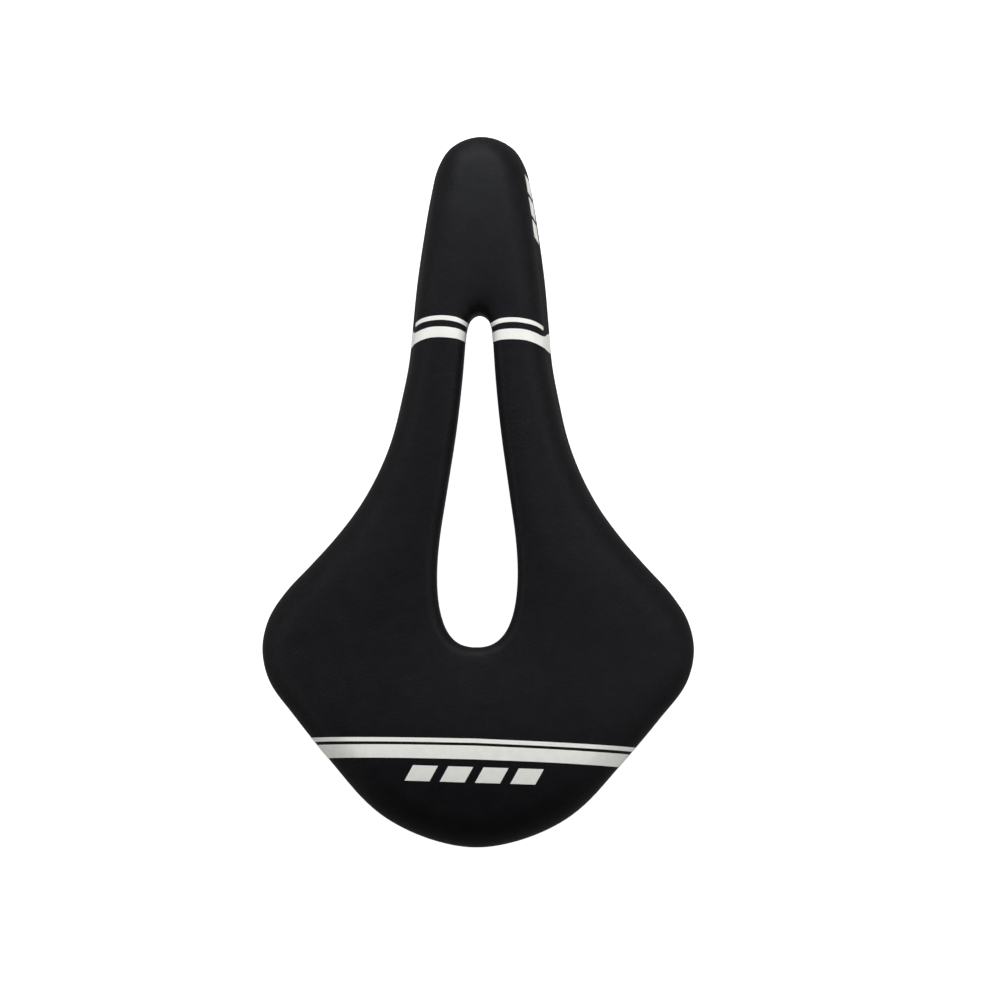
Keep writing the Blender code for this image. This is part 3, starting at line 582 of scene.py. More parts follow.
def fold_path(height):
    """(inset, lift) pairs of the skin's fold under the rim, from past the wall's foot to the hem's end."""
    turn = quarter(FOLD_STEPS)
    path = [(FOLD_RADIUS * (1 - cos(a)), FOLD_RADIUS * (1 - sin(a))) for a in turn[1:]]
    flat = HEM_IN - 2 * FOLD_RADIUS
    path += [(FOLD_RADIUS + flat * k / FLAT_STEPS, 0.0) for k in range(1, FLAT_STEPS)]
    path += [(HEM_IN - FOLD_RADIUS + FOLD_RADIUS * sin(a), FOLD_RADIUS * (1 - cos(a))) for a in turn]
    path += [(HEM_IN, FOLD_RADIUS + (height - FOLD_RADIUS) * k / HEM_STEPS) for k in range(1, HEM_STEPS + 1)]
    return path


def skin_side(side, u):
    """One side of the skin's section, from the hem's end to the top, as (point, zone): zone 0 is the
    folded part, 1 the lowest strip of the wall, and 2 the part above it, which takes the print."""
    rim = rim_at(side, u)
    fold = fold_path(HEM_OUTER if side == 1 else HEM_INNER)
    points = [(wall_point(side, u, inset, rim + lift), 0) for inset, lift in reversed(fold)]
    points.append((wall_point(side, u, 0.0, rim + FOLD_RADIUS), 1))
    arc = edge_arc(side, u, 0.0, 0.0, ARC_STEPS)
    low, high = rim + PRINT_LIFT, arc[0].z
    for k in range(WALL_STEPS):
        points.append((wall_point(side, u, 0.0, low + (high - low) * k / WALL_STEPS), 2))
    points += [(p, 2) for p in arc]
    return points


def skin_section(u):
    """(point, zone) pairs right across the skin, from the cut-out's hem to the outer hem."""
    inner, outer = skin_side(0, u), skin_side(1, u)
    start, end = inner[-1][0], outer[-1][0]
    top = [(on_top(start.lerp(end, k / TOP_STEPS)), 2) for k in range(1, TOP_STEPS)]
    return inner + top + outer[::-1]


def distances_along(rows, column):
    """How far along the outline each row lies from the nose, on the same side."""
    half = len(rows) // 2
    run = [0.0]
    for i in range(half):
        run.append(run[-1] + (rows[i + 1][column] - rows[i][column]).length)
    return run + run[-2:0:-1]


def set_values(mesh, name, values):
    mesh.attributes.new(name, "FLOAT", "POINT").data.foreach_set("value", np.asarray(values, np.float32))


def read(items, key, width):
    """One property of every item, as an array with a row for each."""
    values = np.zeros(len(items) * width, np.float32)
    items.foreach_get(key, values)
    return values.reshape(-1, width)


def get_values(mesh, name):
    return read(mesh.attributes[name].data, "value", 1)[:, 0]


def get_points(mesh):
    return read(mesh.vertices, "co", 3) / MM


def get_normals(mesh):
    return read(mesh.vertex_normals, "vector", 3)


def set_points(mesh, points):
    mesh.vertices.foreach_set("co", (points * MM).astype(np.float32).ravel())
    mesh.update()


def skin_sheet():
    """The skin's outer surface, with each point's zone and its distance along the outline from the nose."""
    zones = [zone for _, zone in skin_section(0.5)]
    rows = ring_rows(lambda u: [p for p, _ in skin_section(u)], SKIN_STRIPS)
    mesh = loft("cover_skin", rows)
    set_values(mesh, "zone", zones * len(rows))
    run = distances_along(rows, len(zones) - 1)
    set_values(mesh, "along", [d for d in run for _ in zones])
    return mesh


# Cloth: air pressure swells the skin where it faces up by more than SWELL_FACING_UP, by SWELL_CAP at
# most. The rest stays where the CAD model has it.
SWELL_FRAMES = 20
SWELL_PRESSURE = 4.0
SWELL_CAP = 0.7
SWELL_FACING_UP = 0.25


def swell(obj):
    """Simulates the skin as cloth that is held along its walls and pushed out from below."""
    rest = get_points(obj.data)
    held = obj.vertex_groups.new(name="held")
    zone = get_values(obj.data, "zone")
    rise = get_normals(obj.data)[:, 2]
    fixed = [i for i in range(len(rest)) if zone[i] < 2 or rise[i] < SWELL_FACING_UP]
    held.add(fixed, 1.0, "REPLACE")
    cloth = obj.modifiers.new("swell", "CLOTH")
    settings = cloth.settings
    settings.quality = 5
    settings.mass = 0.3
    settings.tension_stiffness = settings.compression_stiffness = 40
    settings.bending_stiffness = 2
    settings.vertex_group_mass = held.name
    settings.use_pressure = True
    settings.uniform_pressure_force = SWELL_PRESSURE
    settings.effector_weights.gravity = 0.0
    cloth.collision_settings.use_collision = False
    cloth.point_cache.frame_start, cloth.point_cache.frame_end = 1, SWELL_FRAMES
    scene = bpy.context.scene
    for step in range(1, SWELL_FRAMES + 1):
        scene.frame_set(step)
    moved = get_points(obj.evaluated_get(bpy.context.evaluated_depsgraph_get()).data) - rest
    obj.modifiers.clear()
    scene.frame_set(1)
    furthest = np.linalg.norm(moved, axis=1).max()
    set_points(obj.data, rest + moved * min(1.0, SWELL_CAP / furthest))


# Creases where the skin is drawn down into the front end of the cut-out: they are deepest at a radius
# about their centre, and fade out across PUCKER_REACH and towards the last bearing
PUCKER_CENTRE = (0.0, 56.5)
PUCKER_RADIUS, PUCKER_REACH = 6.3, 4.6
PUCKER_LAST_BEARING = 1.9
PUCKER_DEPTH = 0.42
PUCKER_COUNT = 13

# Pleats in the glued hem, and slow unevenness of the padding
PLEAT_DEPTH, PLEAT_LENGTH = 0.45, 4.5
WAVE_DEPTH, WAVE_LENGTH, WAVE_FACING_UP = 0.10, 24.0, 0.3


def wander(values, seed):
    """Smooth noise along a line, from -1 to 1."""
    return np.array([noise.noise(Vector((float(v), seed, 0.37))) for v in values])


def puckers(points):
    """How far the skin sinks at each point into the creases in front of the cut-out."""
    dx, dy = points[:, 0] - PUCKER_CENTRE[0], points[:, 1] - PUCKER_CENTRE[1]
    away = np.abs(np.hypot(dx, dy) - PUCKER_RADIUS)
    bearing = np.arctan2(dx, dy)
    near = np.clip(1 - away / PUCKER_REACH, 0, 1) ** 1.5
    near *= np.clip(PUCKER_LAST_BEARING - np.abs(bearing), 0, 1)
    uneven = 0.65 + 0.35 * wander(bearing * 3.1, 2.0)
    crease = np.abs(np.sin(bearing * PUCKER_COUNT / 2 + 0.8 * wander(bearing * 2.3, 5.0))) ** 0.6
    return PUCKER_DEPTH * near * uneven * (1 - crease)


def work_skin(mesh):
    """Fine shape of the skin: puckers by the cut-out, pleats in the hem and a slight unevenness on top."""
    points, outward = get_points(mesh), get_normals(mesh)
    zone, along = get_values(mesh, "zone"), get_values(mesh, "along")
    side = np.sign(points[:, 0])
    sink = np.zeros(len(points))
    wall = zone > 1
    sink[wall] = puckers(points[wall])
    hem = zone < 0.5
    pleat = wander(along[hem] / PLEAT_LENGTH + side[hem] * 40, 11.0)
    sink[hem] += PLEAT_DEPTH * np.abs(pleat) * (1 - 2 * zone[hem])
    rise = outward[:, 2] - WAVE_FACING_UP
    top = (zone > 1.5) & (rise > 0)
    uneven = np.array([noise.noise(Vector(p) / WAVE_LENGTH) for p in points[top]])
    sink[top] += WAVE_DEPTH * uneven * rise[top]
    set_points(mesh, points - outward * sink[:, None])


def make_cover(finish):
    """The skin: one sheet over the padding, folded under the shell's rims. Returns its outer surface."""
    skin = add_object("cover_skin", skin_sheet())
    swell(skin)
    finer = skin.modifiers.new("finer", "SUBSURF")
    finer.levels = finer.render_levels = 1
    bake(skin)
    work_skin(skin.data)
    surface = skin.data.copy()
    add_solidify(skin, COVER_THICKNESS, -1.0)
    bake(skin)
    finish_piece(skin, finish, "cover", sharp_from=180)
    return surface


# ------------ foam

LAYER_ARC, LAYER_TOP = 6, 8


def layer(u, inset, depth):
    """Points of a layer from its foot by the cut-out, over the top, to its foot at the side."""
    inner, outer = edge_arc(0, u, inset, depth, LAYER_ARC), edge_arc(1, u, inset, depth, LAYER_ARC)
    between = [on_top(inner[-1].lerp(outer[-1], k / LAYER_TOP), depth) for k in range(1, LAYER_TOP)]
    feet = [wall_point(side, u, inset, rim_at(side, u) + RIM_LIFT) for side in (0, 1)]
    return [feet[0], *inner, *between, *reversed(outer), feet[1]]


def foam_section(u):
    """The padding between skin and shell, as a closed loop of points."""
    return layer(u, FOAM_IN, FOAM_IN) + layer(u, SHELL_IN - 1.2 * GAP, PADDING_DEPTH - 2 * GAP)[::-1]


def make_foam(finish):
    foam = add_object("foam_core", loft("foam_core", ring_rows(foam_section, 2), closed_columns=True))
    finish_piece(foam, finish, "foam_pad")


# ------------ rails

BEND_STEPS, NOSE_BEND_STEPS = 36, 24


def bezier(p0, p1, p2, p3, steps):
    """Points of a cubic Bezier curve, without its first point."""
    points = []
    for k in range(1, steps + 1):
        t = k / steps
        s = 1 - t
        points.append(p0 * s**3 + p1 * (3 * s * s * t) + p2 * (3 * s * t * t) + p3 * t**3)
    return points


def right_rail_route():
    """The right rail's centreline from its end in the rear socket to the middle of the nose bend."""
    half = RAIL_SPACING / 2
    forward = Vector((0, 1, 0))
    mouth = SOCKET_MOUTH
    clamp_rear = Vector((half, CLAMP_REAR, RAIL_RADIUS))
    clamp_front = Vector((half, CLAMP_FRONT, RAIL_RADIUS))
    nose = Vector((NOSE_BEND_RADIUS, NOSE_STRAIGHT_Y, NOSE_BEND_Z))
    route = [mouth + SOCKET_AXIS * RAIL_IN_SOCKET, mouth + SOCKET_AXIS, mouth]
    route += bezier(mouth, mouth - SOCKET_AXIS * BEND_HANDLE,
                    clamp_rear - forward * BEND_HANDLE, clamp_rear, BEND_STEPS)
    route += [clamp_rear + forward, clamp_front - forward, clamp_front]
    route += bezier(clamp_front, clamp_front + forward * BEND_HANDLE,
                    nose - forward * BEND_HANDLE, nose, BEND_STEPS)
    for angle in quarter(NOSE_BEND_STEPS):
        route.append(Vector((
            NOSE_BEND_RADIUS * cos(angle), NOSE_BEND_Y + NOSE_BEND_RADIUS * sin(angle), NOSE_BEND_Z)))
    return route


def rail_route():
    right = right_rail_route()
    return right + [mirrored(p) for p in reversed(right[:-1])]


def make_rails(finish):
    finish_piece(tube("rail_wire", rail_route(), RAIL_RADIUS), finish, "rail_bow")


def rail_groove():
    """A cutter for the rail's bend, up to where the wire leaves the nose clip."""
    route = rail_route()
    middle, reach = len(route) // 2, NOSE_BEND_STEPS + BEND_STEPS // 2
    return tube("cut", route[middle - reach:middle + reach + 1], RAIL_RADIUS + GAP)


# ------------ shell

# Ribs under the plate: on the right half, along the middle of the tail and from side to side. ARM_RIB,
# which runs along the arm beside the cut-out, and the gussets by the sockets aren't in the CAD model.
RIB_DEPTH, RIB_WIDTH, RIB_TIP, RIB_ROOT, RIB_TAPER = 3.6, 1.8, 0.5, 1.3, 5.0
SIDE_RIBS = (((25.0, -30.0), (60.0, -52.0)), ((25.0, -46.0), (62.0, -66.0)))
ARM_RIB = ((15.2, 62.0), (16.4, 44.0), (19.4, 22.0), (25.0, 0.0), (32.0, -20.0), (40.0, -36.0))
TAIL_RIB = ((0.0, -68.0), (0.0, -114.0))
CROSS_RIB = ((-50.0, -71.0), (50.0, -71.0))
SOCKET_WEB_WIDTH, SOCKET_WEB_LIFT = 11.0, 2.0
SOCKET_COLLAR, SOCKET_COLLAR_LENGTH, SOCKET_END_ROUND = 0.7, 2.6, 2.2
GUSSET_HALF, GUSSET_AT, GUSSET_DEPTH = 15.0, (7.0, 16.0), 6.5
INSIDE_PLATE = 0.9
MOUTH_FLARE, RIM_ROUND = 0.5, 0.5


def stretches(points):
    """(the point before, start, end, the point after) of every stretch between two neighbours."""
    last = len(points) - 1
    for i in range(last):
        yield points[max(i - 1, 0)], points[i], points[i + 1], points[min(i + 2, last)]


def plan_curve(points, spacing=2.0):
    """Points about as far apart as the spacing, on a smooth curve in plan through the given ones."""
    points = [Vector(p) for p in points]
    curve = [points[0]]
    for before, a, b, after in stretches(points):
        steps = max(round((b - a).length / spacing), 1)
        curve += [hermite(a, b, (b - before) / 2, (after - a) / 2, k / steps) for k in range(1, steps + 1)]
    return curve


def rib_ring(half, depth):
    """A rib's section, as (across, height over the plate's underside): rounded tip, flared root."""
    tip, root = min(RIB_TIP, depth / 3), min(RIB_ROOT, depth / 2)
    right = [(half - tip + tip * sin(a), -depth + tip * (1 - cos(a))) for a in quarter(3)]
    right += [(half + root * (1 - cos(a)), -root + root * sin(a)) for a in quarter(4)]
    right.append((half + root, INSIDE_PLATE))
    return right + [(-across, height) for across, height in reversed(right)]


def rib(points, width=RIB_WIDTH, depth=RIB_DEPTH, bottom=None, taper=RIB_TAPER):
    """A rib under the plate along points in plan. It tapers off at its ends, or has a level bottom."""
    line = plan_curve(points)
    run = [0.0]
    for a, b in zip(line, line[1:]):
        run.append(run[-1] + (b - a).length)
    rows = []
    for i, p in enumerate(line):
        along = (line[min(i + 1, len(line) - 1)] - line[max(i - 1, 0)]).normalized()
        across = Vector((-along.y, along.x))
        plate = top_height(p.x, p.y) - PADDING_DEPTH - SHELL_THICKNESS
        share = min(1.0, 0.2 + min(run[i], run[-1] - run[i]) / taper)
        reach = depth * share if bottom is None else plate - bottom
        rows.append([Vector((p.x + across.x * a, p.y + across.y * a, plate + h))
                     for a, h in rib_ring(width / 2, max(reach, 0.4))])
    return solid("rib", rows)


def rounded_block(half_width, rear, front, corner, levels):
    """A block with round corners in plan, through (height, how far it stands out) pairs."""
    centre_y, half_length = (front + rear) / 2, (front - rear) / 2
    rows = []
    for z, out in levels:
        radius = corner + out
        row = []
        for turn, (sx, sy) in enumerate(((1, 1), (-1, 1), (-1, -1), (1, -1))):
            for a in quarter(8):
                angle = a + turn * pi / 2
                row.append(Vector((sx * (half_width - corner) + radius * cos(angle),
                                   centre_y + sy * (half_length - corner) + radius * sin(angle), z)))
        rows.append(row)
    return solid("block", rows)


def round_edge(height, radius, upwards):
    """Levels of a block's rounded edge, from its flat face at the height given to its side."""
    return [(height + upwards * radius * (1 - cos(a)), -radius * (1 - sin(a))) for a in quarter(4)]


def mirror_pair(make):
    """What make builds for the right side and for the left."""
    return [make(Vector((side, 1, 1))) for side in (1, -1)]


def socket(flip):
    """A rail socket: a tapered barrel with a collar round its mouth and a rounded end."""
    start, collar = 1.0, SOCKET_RADIUS + SOCKET_COLLAR
    ledge, end = start + SOCKET_COLLAR_LENGTH, start + SOCKET_LENGTH
    profile = [(0.0, start), (collar - 0.4, start), (collar, start + 0.4), (collar, ledge - 0.4),
               (collar - 0.4, ledge), (SOCKET_RADIUS, ledge + 0.3)]
    r = SOCKET_END_ROUND
    profile += [(SOCKET_END_RADIUS - r + r * cos(a), end - r + r * sin(a)) for a in quarter(5)]
    profile.append((0.0, end))
    return turned("socket", profile, SOCKET_MOUTH * flip, SOCKET_AXIS * flip)


def socket_bore(flip):
    bore = RAIL_RADIUS + SLEEVE_WALL + 2 * GAP
    profile = ((0.0, -2.0), (bore + MOUTH_FLARE, -2.0), (bore + MOUTH_FLARE, 1.0),
               (bore, 1.0 + MOUTH_FLARE), (bore, RAIL_IN_SOCKET + GAP), (0.0, RAIL_IN_SOCKET + GAP))
    return turned("cut", profile, SOCKET_MOUTH * flip, SOCKET_AXIS * flip)


def socket_ribs(flip):
    """The web that joins a socket to the plate, and the gussets across it."""
    start = (SOCKET_MOUTH + SOCKET_AXIS) * flip
    end = start + SOCKET_AXIS * SOCKET_LENGTH * flip
    made = [rib((start.xy, end.xy), SOCKET_WEB_WIDTH, bottom=SOCKET_MOUTH.z + SOCKET_WEB_LIFT)]
    across = Vector((1, 0)) * GUSSET_HALF
    for run in GUSSET_AT:
        middle = (start + SOCKET_AXIS * run * flip).xy
        made.append(rib((middle - across, middle + across), depth=GUSSET_DEPTH, taper=GUSSET_HALF))
    return made


def drill(radius, low, high):
    """A round cutter on the clip screw's axis."""
    return turned("cut", ((0.0, low), (radius, low), (radius, high), (0.0, high)))


def make_shell(finish):
    """The nylon moulding: a plate with side walls, and under it ribs, sockets and the nose boss."""
    rows = ring_rows(lambda u: layer(u, SHELL_IN, PADDING_DEPTH), 3)
    shell = add_object("shell_moulding", loft("shell_moulding", rows))
    add_solidify(shell, SHELL_THICKNESS, -1.0)
    rim = shell.modifiers.new("rim", "BEVEL")
    rim.width, rim.segments = RIM_ROUND * MM, 2
    rim.limit_method, rim.angle_limit = "ANGLE", radians(60)
    bake(shell)
    root = [(NOSE_BOSS_TOP - 2.0 + 1.8 * sin(a), 1.8 * (1 - cos(a))) for a in quarter(4)]
    added = [rounded_block(CLIP_HALF_WIDTH, CLIP_REAR, CLIP_FRONT, CLIP_CORNER,
                           [*round_edge(PARTING_Z + GAP / 2, 0.6, 1), *root]),
             rib(TAIL_RIB), rib(CROSS_RIB)]
    added += mirror_pair(socket)
    for ribs in mirror_pair(socket_ribs):
        added += ribs
    for line in (*SIDE_RIBS, ARM_RIB):
        added += mirror_pair(lambda flip: rib([Vector(p) * flip.xy for p in line]))
    combine(shell, added, "UNION")
    combine(shell, [rail_groove(), *mirror_pair(socket_bore),
                    drill(INSERT_RADIUS + GAP, INSERT_BOTTOM - GAP, INSERT_TOP + GAP),
                    drill(SCREW_RADIUS + SCREW_CLEARANCE, PARTING_Z - 1, INSERT_BOTTOM + 1)], "DIFFERENCE")
    finish_piece(shell, finish, "base_shell")


# ------------ rail fixings

CLIP_EDGE = 1.8
COUNTERBORE_FLARE = 0.6
HEAD_DOME = 1.5


def make_clip(finish):
    """The plate that clamps the rail's bend, with a counterbore for its screw."""
    levels = round_edge(CLIP_BOTTOM, CLIP_EDGE, 1) + round_edge(PARTING_Z - GAP / 2, 0.4, -1)[::-1]
    clip = rounded_block(CLIP_HALF_WIDTH, CLIP_REAR, CLIP_FRONT, CLIP_CORNER, levels)
    clip.name = clip.data.name = "nose_clamp_plate"
    bore, wide = SCREW_RADIUS + SCREW_CLEARANCE, SCREW_HEAD_RADIUS + SCREW_CLEARANCE
    below = CLIP_BOTTOM - 1
    profile = ((0.0, below), (wide + COUNTERBORE_FLARE, below), (wide + COUNTERBORE_FLARE, CLIP_BOTTOM),
               (wide, CLIP_BOTTOM + COUNTERBORE_FLARE), (wide, SCREW_SEAT_Z), (bore, SCREW_SEAT_Z),
               (bore, PARTING_Z + 1), (0.0, PARTING_Z + 1))
    combine(clip, [rail_groove(), turned("cut", profile)], "DIFFERENCE")
    finish_piece(clip, finish, "nose_clip")


def make_screw(finish):
    """A button-head screw with a hexagon recess, its head down."""
    seat = SCREW_SEAT_Z - GAP
    low = seat - SCREW_HEAD
    dome = [(SCREW_HEAD_RADIUS - HEAD_DOME + HEAD_DOME * sin(a), low + HEAD_DOME * (1 - cos(a)))
            for a in quarter(8)]
    profile = [(0.0, low), *dome, (SCREW_HEAD_RADIUS, seat), (SCREW_RADIUS, seat),
               (SCREW_RADIUS, SCREW_TIP_Z - 0.6), (SCREW_RADIUS - 0.6, SCREW_TIP_Z), (0.0, SCREW_TIP_Z)]
    screw = turned("clip_screw", profile)
    floor = low + SCREW_SOCKET_DEPTH
    mouth = SCREW_SOCKET_RADIUS + 0.3
    recess = turned("cut", ((0.0, low - 1), (mouth, low - 1), (mouth, low), (SCREW_SOCKET_RADIUS, low + 0.3),
                            (SCREW_SOCKET_RADIUS, floor), (0.0, floor + 0.5)), sides=6)
    combine(screw, [recess], "DIFFERENCE")
    finish_piece(screw, finish, "nose_clip_screw", 30)


def make_boots(finish):
    """Rubber sleeves on the rail's ends, with a rounded flange outside the socket's mouth."""
    inner = RAIL_RADIUS + GAP
    outer = inner + SLEEVE_WALL
    seat = SLEEVE_FLANGE_SEAT
    face, wide = seat - SLEEVE_FLANGE, SLEEVE_FLANGE_RADIUS
    r = SLEEVE_FLANGE / 2
    profile = [(outer, SLEEVE_LENGTH), (outer, seat), (wide - r, seat)]
    profile += [(wide - r + r * sin(a), seat - r + r * cos(a)) for a in quarter(6)[1:]]
    profile += [(wide - r + r * cos(a), face + r - r * sin(a)) for a in quarter(6)[1:]]
    profile += [(inner + 0.5, face), (inner, face + 0.5), (inner, SLEEVE_LENGTH)]
    for flip, word in zip(mirror_pair(lambda flip: flip), ("right", "left")):
        boot = turned("rail_boot_" + word, profile, SOCKET_MOUTH * flip, SOCKET_AXIS * flip)
        finish_piece(boot, finish, "rail_sleeve_" + word)


# ------------ printed stripes

# Stripes on the right half: (x, y of the front edge, y of the rear edge). The front wide one's front edge
# hooks forward at its outer end, which the CAD model leaves out.
FRONT_THIN = ((2.5, 57.8, 56.2), (5.3, 59.1, 57.5), (8.0, 60.1, 58.4), (12.5, 60.5, 58.9),
              (17.0, 60.2, 58.6), (20.5, 59.5, 58.0), (22.9, 58.5, 57.1))
FRONT_WIDE = ((2.5, 54.0, 50.6), (5.3, 55.3, 51.8), (8.0, 56.1, 52.4), (12.5, 56.5, 52.7),
              (17.0, 56.3, 52.5), (20.5, 55.5, 51.7), (22.2, 55.0, 51.1), (23.4, 55.2, 50.7),
              (24.6, 57.2, 50.3), (30.0, 57.6, 49.4))
REAR_THIN = ((0.0, -89.5, -91.0), (28.0, -89.9, -91.4), (50.0, -90.5, -92.0), (66.0, -91.2, -92.7))
REAR_WIDE = ((0.0, -92.0, -96.8), (28.0, -92.4, -97.1), (50.0, -93.1, -97.8), (66.0, -93.8, -98.6))
# The print sits askew: the stripes and tail bars fall back by this much for each millimetre to the right
PRINT_SKEW = 0.024
TAIL_BARS, TAIL_BAR_PITCH, TAIL_BAR_WIDTH, TAIL_BAR_SLANT = 4, 12.4, 8.8, 3.0
TAIL_BAR_FRONT, TAIL_BAR_REAR = -99.5, -105.0
SIDE_BARS, SIDE_BAR_PITCH, SIDE_BAR_LENGTH, SIDE_BAR_SLANT = 3, 8.1, 6.5, 1.8
SIDE_BAR_START, SIDE_BAR_LOW, SIDE_BAR_HIGH = 113.4, 28.0, 34.8
FILM_THICKNESS = 0.10
CURVE_STEPS = 5
PRISM_LOW, PRISM_HIGH = 10.0, 75.0


def smooth_line(points):
    """More points on a smooth curve through the given ones."""
    points = [Vector(p) for p in points]
    line = [points[0]]
    for before, a, b, after in stretches(points):
        span = b.x - a.x
        m0 = (b - before) * (span / (b.x - before.x))
        m1 = (after - a) * (span / (after.x - a.x))
        line += [hermite(a, b, m0, m1, k / CURVE_STEPS) for k in range(1, CURVE_STEPS + 1)]
    return line


def half_band(stripe, side):
    """A stripe's outline on one side: 1 right, -1 left."""
    front, rear = (smooth_line([(row[0], row[edge]) for row in stripe]) for edge in (1, 2))
    return [(p.x * side, p.y) for p in front + rear[::-1]]


def whole_band(stripe):
    right, left = half_band(stripe, 1), half_band(stripe, -1)
    middle = len(right) // 2
    return left[:middle][::-1] + right[1:-1] + left[middle:][::-1]


def slanted(low, high, front, rear, slant):
    return ((low + slant, front), (high + slant, front), (high, rear), (low, rear))


def prism(outline, low, high, axis):
    """A closed cutter over an outline. Its axis is Z over points (x, y), or X over points (y, z)."""
    def place(a, b, run):
        return (a, b, run) if axis == "Z" else (run, a, b)

    bm = bmesh.new()
    verts = [bm.verts.new(place(a * MM, b * MM, low * MM)) for a, b in outline]
    swept = bmesh.ops.extrude_face_region(bm, geom=[bm.faces.new(verts)])["geom"]
    bmesh.ops.translate(bm, vec=Vector(place(0, 0, high - low)) * MM,
                        verts=[g for g in swept if isinstance(g, bmesh.types.BMVert)])
    bmesh.ops.recalc_face_normals(bm, faces=bm.faces)
    return add_object("cut", from_bmesh("cut", bm))


def patch_of(surface, low, high):
    """The faces of the skin's outer surface that reach into a box and lie in its printable part."""
    bm = bmesh.new()
    bm.from_mesh(surface)
    zone = bm.verts.layers.float["zone"]
    low, high = Vector(low) * MM, Vector(high) * MM

    def outside(face):
        if any(v[zone] < 1.99 for v in face.verts):
            return True
        return any(max(v.co[k] for v in face.verts) < low[k] or min(v.co[k] for v in face.verts) > high[k]
                   for k in range(3))

    bmesh.ops.delete(bm, geom=[f for f in bm.faces if outside(f)], context="FACES")
    return from_bmesh("patch", bm)


def make_film(node, finish, surface, outline, low=PRISM_LOW, high=PRISM_HIGH, axis="Z"):
    """A thin film on the skin, as far as a prism over the outline reaches."""
    cutter = prism(outline, low, high, axis)
    corners = get_points(cutter.data)
    film = add_object(node + "_film", patch_of(surface, corners.min(0), corners.max(0)))
    add_solidify(film, FILM_THICKNESS, 1.0)
    combine(film, [cutter], "INTERSECT", "EXACT")
    finish_piece(film, finish, node, 50)


def make_films(surface, front_film_painted_shade, rear_film_painted_light):
    bands = [("rear_thin_stripe", whole_band(REAR_THIN), rear_film_painted_light),
             ("rear_wide_stripe", whole_band(REAR_WIDE), rear_film_painted_light)]
    for side, word in ((1, "right"), (-1, "left")):
        bands.append((f"front_thin_stripe_{word}", half_band(FRONT_THIN, side), front_film_painted_shade))
        bands.append((f"front_wide_stripe_{word}", half_band(FRONT_WIDE, side), front_film_painted_shade))
    for k in range(TAIL_BARS):
        left = (k - (TAIL_BARS - 1) / 2) * TAIL_BAR_PITCH - (TAIL_BAR_WIDTH + TAIL_BAR_SLANT) / 2
        bar = slanted(left, left + TAIL_BAR_WIDTH, TAIL_BAR_FRONT, TAIL_BAR_REAR, TAIL_BAR_SLANT)
        bands.append((f"tail_bar_{k + 1}", bar, rear_film_painted_light))
    for node, outline, finish in bands:
        skewed = [(x, y - PRINT_SKEW * x) for x, y in outline]
        make_film(node, finish, surface, skewed)
    for k in range(SIDE_BARS):
        rear = SIDE_BAR_START - k * SIDE_BAR_PITCH - SIDE_BAR_LENGTH - SIDE_BAR_SLANT
        bar = slanted(rear, rear + SIDE_BAR_LENGTH, SIDE_BAR_HIGH, SIDE_BAR_LOW, SIDE_BAR_SLANT)
        make_film(f"nose_side_bar_{k + 1}", front_film_painted_shade, surface, bar, 0.0, HALF_WIDTH, "X")


# ------------ floor, light and camera, in metres

STAGE_RADIUS = 5.0
FLOOR_BELOW = 0.0002
FLOOR_GLOW, DOME_GLOW = 0.85, 0.95
TARGET = Vector((0.0, 0.0, 0.040))
CAMERA_DISTANCE = 1.6
CAMERA_PITCH, CAMERA_YAW, CAMERA_ROLL = radians(4.0), radians(2.0), radians(0.448)
# The camera's sensor and lens in millimetres, and its shift in widths of the picture
SENSOR, LENS = 36.0, 161.5
SHIFT = (0.0220, -0.0121)

WORLD_STRENGTH = 0.15
# Softboxes: name, place, size and power in watts
SOFTBOXES = (
    ("over_right", (0.18, 0.19, 0.42), (0.25, 0.25), 0.23),
    ("over_left", (-0.18, 0.19, 0.42), (0.25, 0.25), 0.15),
    ("over_nose", (0.0, 0.27, 0.26), (0.20, 0.15), 0.52),
    ("near_nose", (0.0, 0.40, 0.24), (0.25, 0.20), 0.22),
    ("side_right", (0.28, 0.16, 0.24), (0.20, 0.20), 0.26),
    ("side_left", (-0.28, 0.16, 0.24), (0.20, 0.20), 0.16),
    ("low_front", (-0.08, 0.50, 0.14), (0.40, 0.16), 1.1),
    ("right", (0.70, -0.05, 0.25), (0.60, 0.30), 1.0),
    ("left", (-0.70, -0.05, 0.25), (0.60, 0.30), 1.0),
    ("low_right", (0.60, 0.0, 0.07), (0.80, 0.08), 0.20),
    ("low_left", (-0.60, 0.0, 0.07), (0.80, 0.08), 0.28),
    ("high_right", (0.90, 0.10, 1.30), (0.80, 0.80), 2.2),
)


def set_stage(name, create, glow=0.0, **settings):
    """A white surface of the stage, which may glow, made by one of bmesh's operators."""
    made, shader = principled("white_" + name, (0.80, 0.80, 0.80), 0.8, specular=0.0)
    fill(shader, {"Emission Color": (1.0, 1.0, 1.0, 1.0), "Emission Strength": glow})
    bm = bmesh.new()
    create(bm, **settings)
    stage = add_object(name, from_bmesh(name, bm))
    dress(stage, made)
    return stage


def make_stage():
    """A white floor and a dome as its backdrop, whose glow only the camera sees. What lights the saddle
    from below is a second floor, which neither the camera nor the gloss sees."""
    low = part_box("rail_bow")[0].z
    disc = {"create": bmesh.ops.create_circle, "cap_ends": True, "segments": 96, "radius": STAGE_RADIUS}
    floor = set_stage("floor", glow=FLOOR_GLOW, **disc)
    floor.location.z = low - FLOOR_BELOW
    dome = set_stage("dome", bmesh.ops.create_uvsphere, DOME_GLOW, u_segments=96, v_segments=48,
                     radius=STAGE_RADIUS)
    for seen in (floor, dome):
        seen.visible_diffuse = seen.visible_glossy = False
    bounce = set_stage("bounce_floor", **disc)
    bounce.location.z = low - FLOOR_BELOW / 2
    bounce.visible_camera = bounce.visible_glossy = False
    for clear in (dome, bounce):
        clear.visible_shadow = clear.visible_transmission = False


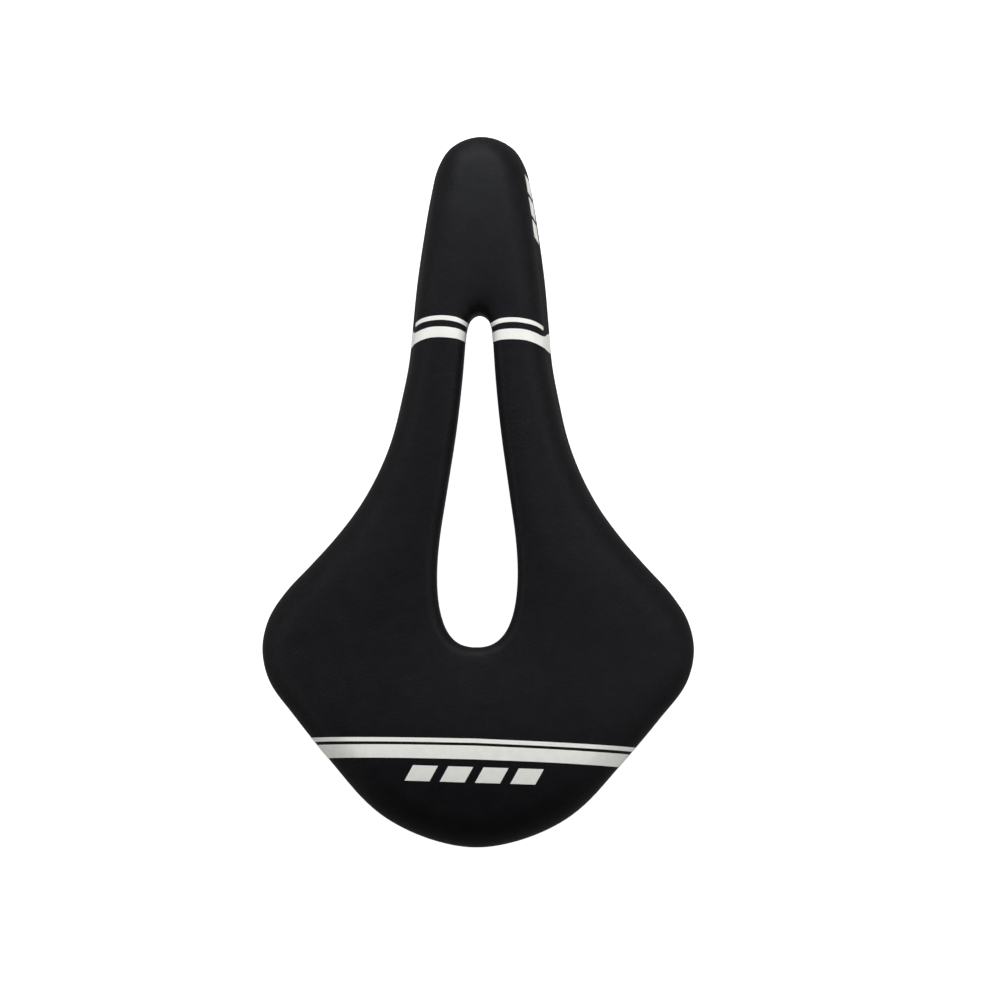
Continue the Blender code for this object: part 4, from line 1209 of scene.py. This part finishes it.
def make_light():
    """White surroundings and softboxes that face the middle of the saddle."""
    scene = bpy.context.scene
    scene.world = bpy.data.worlds.new("studio")
    scene.world.use_nodes = True
    around = scene.world.node_tree.nodes["Background"]
    fill(around, {"Color": (1.0, 1.0, 1.0, 1.0), "Strength": WORLD_STRENGTH})
    for name, place, size, power in SOFTBOXES:
        light = bpy.data.lights.new(name, "AREA")
        light.shape = "RECTANGLE"
        light.size, light.size_y = size
        light.energy = power
        box = bpy.data.objects.new(name, light)
        scene.collection.objects.link(box)
        box.location = place
        box.rotation_mode = "QUATERNION"
        box.rotation_quaternion = (TARGET - Vector(place)).to_track_quat("-Z", "Y")
    scene.view_settings.view_transform = "Standard"


def make_camera():
    """The camera looks down on the saddle, turned a little from straight above."""
    data = bpy.data.cameras.new("camera")
    data.sensor_width = SENSOR
    data.lens = LENS
    data.shift_x, data.shift_y = SHIFT
    data.clip_start, data.clip_end = 0.05, 20.0
    level = cos(CAMERA_PITCH)
    back = Vector((sin(CAMERA_YAW) * level, -sin(CAMERA_PITCH), cos(CAMERA_YAW) * level))
    side = Vector((0, 1, 0)).cross(back).normalized()
    ahead = back.cross(side)
    c, s = cos(CAMERA_ROLL), sin(CAMERA_ROLL)
    right, up = side * c + ahead * s, ahead * c - side * s
    camera = bpy.data.objects.new("camera", data)
    bpy.context.scene.collection.objects.link(camera)
    turn = Matrix((right, up, back)).transposed().to_4x4()
    camera.matrix_world = Matrix.Translation(TARGET + back * CAMERA_DISTANCE) @ turn
    bpy.context.scene.camera = camera


# ------------ the saddle

def main():
    make_camera()
    surface = make_cover(microfibre())
    make_foam(foam_rubber())
    # The front and rear stripes share one white film. Its front copy is painted darker (painted shade) and
    # its rear copy lighter (painted light), to even out how the lamps light the nose and the tail.
    make_films(surface, transfer_film("front_film_painted_shade", (0.78, 0.785, 0.745)),
               transfer_film("rear_film_painted_light", (0.95, 0.955, 0.905)))
    nylon = moulded_nylon()
    make_shell(nylon)
    make_clip(nylon)
    make_rails(rail_paint())
    make_boots(rubber())
    make_screw(black_oxide())
    dress(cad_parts["nose_insert_nut"], turned_brass())
    make_stage()
    make_light()


main()
